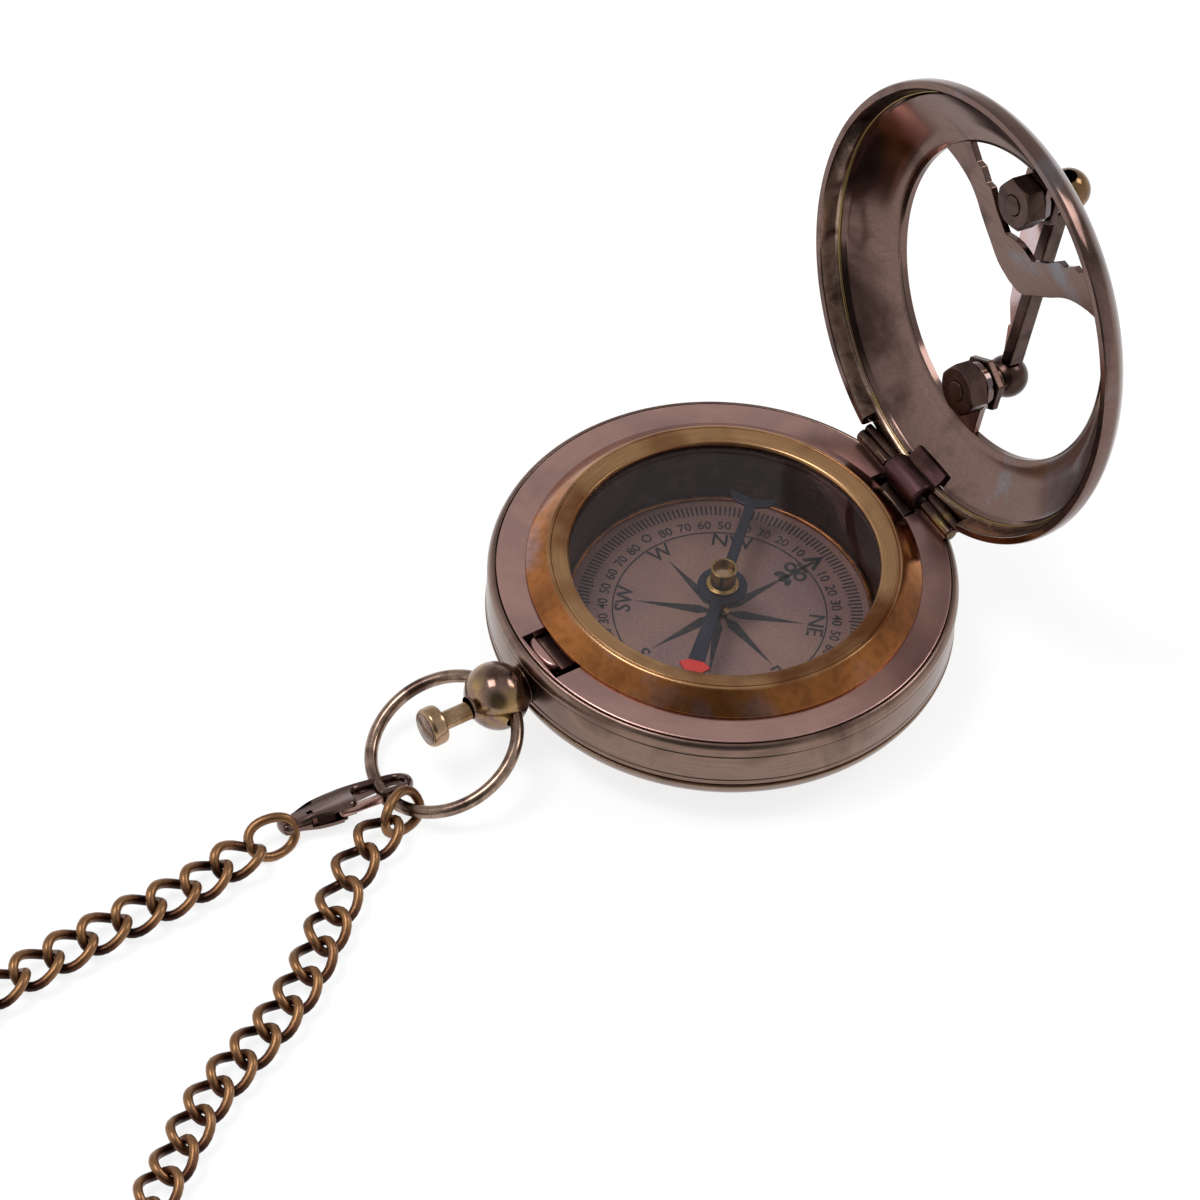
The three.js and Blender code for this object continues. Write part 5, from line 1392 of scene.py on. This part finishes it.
class COMPASS_OT_lid(bpy.types.Operator):
    """Pierced lid, drawn closed and turned open: domed shell, bow, post tabs and the rim inside its lip."""

    bl_idname = "compass.lid"
    bl_label = "Lid"

    def execute(self, context):
        pieces = shell, bow, rim, ridge = self.shell(), self.bow(), *self.rim()
        for piece in pieces:
            piece.data.transform(Matrix([[*row[:3], row[3] * MM] for row in OPEN[:3]] + [[0, 0, 0, 1]]))
        finish = lid_bronze()
        dressed(shell, finish, "lid", "lid_dome")
        dressed(bow, finish, "lid")
        dressed(rim, mauve_bronze(), "lid", "lid_rim")
        dressed(ridge, rim_bronze(), "lid")
        return {"FINISHED"}

    def shell(self):
        """Domed shell with the hinge's notch: the outside's profile, drawn in by the wall for the inside."""
        outline = np.array([
            (0.12, 0), (0, 0.05), (0, 0.15), (0.14, 0.27), (0.66, 0.395), (1.13, 0.475), (1.56, 0.535),
            (2.9, 0.66), (4.4, 0.78), (5.9, 0.885), (LID_RADIUS - LID_OPENING, 0.975),
        ])
        outer = spline(outline * (-1, LID_HEIGHT) + (LID_RADIUS, LIP), 5)
        step = unit(np.gradient(outer, axis=0))
        inner = outer + LID_WALL * np.stack([-step[:, 1], step[:, 0]], axis=-1)
        inner = inner[(inner[:, 0] > LID_OPENING + 0.2) & (inner[:, 1] > LIP + 0.5)]
        profile = np.concatenate([
            outer[:-1],
            [(LID_OPENING + 0.1, LID_TOP), (LID_OPENING, LID_TOP - 0.1)],
            [(LID_OPENING, LID_UNDER + 0.1), (LID_OPENING + 0.1, LID_UNDER)],
            inner[::-1],
            [(LID_RADIUS - LID_WALL, LIP + 0.1), (LID_RADIUS - LID_WALL + 0.1, LIP)],
        ])
        shell = solid("lid_shell", lathe(profile, 192), sharp=30)
        room = rod(1.8, -3.2, 3.2, 48, matrix(place=HINGE) @ ALONG_X)
        return carve(shell, hinge_notch(2.3), room, sharp=30)

    def bow(self):
        """Bow across the opening, with the two tabs that hold the posts."""
        lower_edge = [
            (15.1, -9.5), (12, -9.2), (9.5, -8.5), (7.8, -7.5), (6.5, -6.4), (4.3, -4.8), (2.2, -3.4),
            (0, -3.05),
        ]
        upper = np.array([
            (0, -8.15), (1, -8.05), (2.3, -7.7), (4.5, -9.2), (6.2, -10.85), (7, -10.8), (8.4, -11.95),
            (9.2, -11.9), (11.4, -13.7),
        ])
        right = spline(lower_edge, 3)
        mirror = np.array((-1, 1))
        lower = np.concatenate([right, (right * mirror)[-2::-1]])
        lower[:, 1] += 0.85 * smoothstep(-3, 3, lower[:, 0]) - 0.55
        outlines = [np.concatenate([lower, (upper * mirror)[:0:-1], upper]) + (0.2, 0)]
        for post in (UPPER_POST, LOWER_POST):
            sign = math.copysign(1, post)
            boss = polar(2.5, np.linspace(0, 180, 24)) * (1, -1)
            neck = np.array([(-2.2, 1.4), (-1.9, 2), (-1.9, LID_OPENING + 0.7 - abs(post))])
            tab = np.concatenate([boss, neck, neck[::-1] * mirror])
            outlines.append(tab * (1, sign) + (0, post))
        sheets = [extrusion(outline, LID_UNDER + 0.04, LID_TOP - 0.04) for outline in outlines]
        return solid("lid_bow", *sheets, bevel=0.1)

    def rim(self):
        """Rim inside the lip, and the bead on its inner edge."""
        outer = LID_RADIUS - LID_WALL - 0.05
        inner, top = outer - 0.7, LIP + 2
        profile = rounded([
            (outer, LIP + 0.05, 0.05), (outer, top - 0.7, 0.2), (outer - 0.35, top + 0.25, 0.2),
            (inner + 0.12, top + 0.2, 0.1), (inner + 0.05, top - 0.05, 0.12), (inner + 0.25, top - 0.35, 0.1),
            (inner + 0.45, LIP + 0.9, 0.4),
        ])
        rim = carve(solid("rim", lathe(profile, 192), sharp=30), hinge_notch(4), sharp=30)
        bead = polar(0.2, np.linspace(0, 360, 12, endpoint=False)) + (inner + 0.14, top + 0.06)
        return rim, solid("rim_ridge", lathe(bead, 192), sharp=60)


class COMPASS_OT_sundial(bpy.types.Operator):
    """Ball posts with their nuts, and the gnomon folded flat between them."""

    bl_idname = "compass.sundial"
    bl_label = "Sundial"

    def execute(self, context):
        self.posts()
        self.gnomon()
        return {"FINISHED"}

    def posts(self):
        """Two slotted ball posts, each on a stud with a nut inside the lid and a thin one outside."""
        nut_top, jam_foot = LID_UNDER - 0.1, LID_TOP + 0.05
        end, jam_top = nut_top - NUT_THICKNESS, jam_foot + JAM_THICKNESS
        knob = BALL_RADIUS + 0.25
        ball = polar(knob, np.linspace(-56, 90, 30))
        stud = rounded([
            (0, end, 0), (STUD_RADIUS, end, 0.2), (STUD_RADIUS, jam_top + 0.05, 0),
            (2.2, jam_top + 0.05, 0.12), (2.2, jam_top + 0.8, 0.25),
        ])
        nut_form = rounded([
            (0, end, 0), (2.5, end, 0.1), (2.95, end + 0.35, 0.1), (2.95, nut_top, 0), (0, nut_top, 0),
        ])
        stub = [(0, end - 0.12, 0), (1.1, end - 0.12, 0.1), (1.1, end + 0.1, 0), (0, end + 0.1, 0)]
        hexagon = polar(1 / math.sqrt(3), np.arange(30, 390, 60))
        finish, dark = polished_bronze(), dark_bronze()
        for post, name, lift, metal in (
            (UPPER_POST, "upper", UPPER_LIFT, finish), (LOWER_POST, "lower", LOWER_LIFT, dark),
        ):
            place = OPEN @ matrix(place=(0, post, 0))
            profile = np.concatenate([stud, ball + (0, BALL_Z + lift)])
            ball_post = solid(f"{name}_ball", lathe(profile, 48, place, ring=False))
            bore = rod(0.95, -3, 3, 24, place @ matrix(place=(0, 0, BALL_Z)) @ ALONG_Y)
            slot = block(-0.28, 0.28, -3, 3, BALL_Z + lift + knob - 0.7, BALL_Z + 4, place)
            carve(ball_post, bore, slot)
            dressed(ball_post, metal, "lid", f"{name}_post")
            turned(f"{name}_stud_end", stub, 32, dark, "lid", place=place)
            nut_place = place @ turn(30, "Z")
            nut = solid(f"{name}_hex", extrusion(hexagon * NUT_FLATS, end, nut_top, nut_place))
            carve(nut, lathe(nut_form, 48, place, ring=False), keep=True)
            carve(nut, rod(1.2, 10, 30, 32, place))
            dressed(nut, dark, "lid", f"{name}_nut")
            thin = extrusion(hexagon * JAM_FLATS, jam_foot, jam_top, place)
            dressed(solid(f"{name}_thin_hex", thin, bevel=0.12), dark, "lid", f"{name}_jam_nut")

    def gnomon(self):
        """Gnomon's plate, and the bar that turns on two pins in the balls."""
        upper, lower = UPPER_POST + BALL_RADIUS + 0.3, LOWER_POST - BALL_RADIUS - 0.3
        edge = np.array([
            (0, 0), (0, 0.97), (-0.6, 0.97), (-0.8, 0.95), (-1.3, 0.81), (-1.05, 0.79), (-2.1, 0.68),
            (-2.45, 0.57), (-3.7, 0.26), (-GNOMON_WIDTH, 0.03), (-GNOMON_WIDTH, 0),
        ])
        edge[:, 1] = upper + (lower - upper) * edge[:, 1]
        blade = solid("gnomon_plate", extrusion(edge, BALL_Z - 0.7, BALL_Z + 0.7, OPEN), bevel=0.12)
        dressed(blade, pale_bronze(), "gnomon_blade", "gnomon")
        style = block(-0.6, GNOMON_HALF, upper, lower, BALL_Z - GNOMON_HALF, BALL_Z + GNOMON_HALF, OPEN)
        pins = []
        for y0, y1 in ((UPPER_POST + 0.3, upper + 0.5), (lower - 0.5, LOWER_POST - 0.3)):
            pin_place = OPEN @ matrix(place=(0, (y0 + y1) / 2, BALL_Z)) @ ALONG_Y
            pins.append(round_bar(0.7, (y1 - y0) / 2, (0, 0, 0), 0.1, pin_place))
        dressed(solid("gnomon_bar", style, *pins, bevel=0.2), dark_bronze(), "gnomon_blade")


class COMPASS_OT_stage(bpy.types.Operator):
    """White floor, studio surroundings, lamps and the photograph's camera."""

    bl_idname = "compass.stage"
    bl_label = "Stage"

    def execute(self, context):
        s = context.scene.compass_stage
        scene = context.scene
        scene.view_settings.view_transform = "Standard"
        half = s.floor_half / MM
        corners = np.array([[(-half, -half), (half, -half)], [(-half, half), (half, half)]])
        points, faces = grid(np.concatenate([corners, np.full((2, 2, 1), -0.02)], axis=-1))
        floor = solid("floor", (points, faces))
        floor.data.materials.append(self.paper())

        world = bpy.data.worlds.new("studio")
        world.use_nodes = True
        tree = world.node_tree
        aim = add_node(tree, "ShaderNodeTexCoord").outputs["Generated"]
        room = self.patch(tree, aim, (0, 0, 1), -0.1, 0.6, 0.8, 0.55)
        for direction, wide, narrow, level in (
            ((0.72, -0.53, 0.45), 0.72, 0.95, 0.22), ((-0.55, -0.82, 0.15), 0.75, 0.97, 1.5),
        ):
            share = self.patch(tree, aim, direction, wide, narrow, 1.0, level)
            room = reckoned(tree, "MULTIPLY", room, share)
        fill(tree, tree.nodes["Background"], {"Strength": room, "Color": (1, 1, 1, 1)})
        scene.world = world

        for name, power, place, size in (
            ("key", s.key_power, (-0.26, -0.45, 1.18), 0.5), ("fill", s.fill_power, (0.22, 0.89, 0.92), 0.45),
        ):
            light = bpy.data.lights.new(name, "AREA")
            light.energy = power
            light.size = size
            back = unit(np.array(place) - LAMP_TARGET)
            right = unit(np.cross((0, 0, 1), back))
            lamp = self.set_up(context, light, right, np.cross(back, right), back, place)

        lens = bpy.data.cameras.new("camera")
        lens.lens = CAMERA_LENS
        lens.sensor_width = CAMERA_SENSOR
        lens.clip_end = 20
        place = np.array(CAMERA_PLACE) * MM
        scene.camera = self.set_up(context, lens, CAMERA_RIGHT, CAMERA_UP, CAMERA_BACK, place)
        return {"FINISHED"}

    def set_up(self, context, data, right, up, back, place):
        """Lamp or camera at a place in metres, with its right, up and back directions."""
        item = bpy.data.objects.new(data.name, data)
        axes = np.column_stack([right, up, back, place])
        item.matrix_world = Matrix([*axes.tolist(), [0, 0, 0, 1]])
        context.collection.objects.link(item)
        return item

    def patch(self, tree, aim, direction, wide, narrow, far, near):
        """Level of the room that goes smoothly from far to near as the view turns towards a direction."""
        inputs = {0: aim, 1: unit(np.array(direction, float)).tolist()}
        facing = add_node(tree, "ShaderNodeVectorMath", inputs, operation="DOT_PRODUCT").outputs["Value"]
        return ranged(tree, facing, (wide, narrow), (far, near), interpolation_type="SMOOTHSTEP")

    def paper(self):
        """White studio paper: bright by itself, with a little room left for a soft shadow."""
        material, tree, shader = new_material("white paper")
        fill(tree, shader, {
            "Base Color": (0.3, 0.3, 0.3, 1), "Roughness": 1.0, "Specular IOR Level": 0.0,
            "Emission Color": (1, 1, 1, 1), "Emission Strength": 0.8,
        })
        return material


class COMPASS_PT_build(bpy.types.Panel):
    """Sizes, colours and the steps of the build."""

    bl_label = "Sundial compass"
    bl_idname = "COMPASS_PT_build"
    bl_space_type = "VIEW_3D"
    bl_region_type = "UI"
    bl_category = "Compass"

    def draw(self, context):
        scene = context.scene
        for group in (scene.compass_sizes, scene.compass_colours, scene.compass_stage):
            column = self.layout.column()
            for name in group.__annotations__:
                column.prop(group, name)
        for step in STEPS:
            self.layout.operator(step.bl_idname)


STEPS = (
    COMPASS_OT_stage, COMPASS_OT_clasp, COMPASS_OT_chain, COMPASS_OT_bail, COMPASS_OT_pendant,
    COMPASS_OT_case, COMPASS_OT_bezel, COMPASS_OT_dial, COMPASS_OT_needle, COMPASS_OT_hinge,
    COMPASS_OT_lid, COMPASS_OT_sundial,
)
CLASSES = (CompassSizes, CompassColours, StageSettings, *STEPS, COMPASS_PT_build)


def register():
    """Adds the classes and the scene's properties."""
    for item in CLASSES:
        bpy.utils.register_class(item)
    bpy.types.Scene.compass_sizes = bpy.props.PointerProperty(type=CompassSizes)
    bpy.types.Scene.compass_colours = bpy.props.PointerProperty(type=CompassColours)
    bpy.types.Scene.compass_stage = bpy.props.PointerProperty(type=StageSettings)


def unregister():
    """Removes the scene's properties and the classes."""
    del bpy.types.Scene.compass_sizes
    del bpy.types.Scene.compass_colours
    del bpy.types.Scene.compass_stage
    for item in reversed(CLASSES):
        bpy.utils.unregister_class(item)


def main():
    """Builds the compass step by step."""
    register()
    for step in STEPS:
        group, name = step.bl_idname.split(".")
        getattr(getattr(bpy.ops, group), name)()


if __name__ == "__main__":
    main()
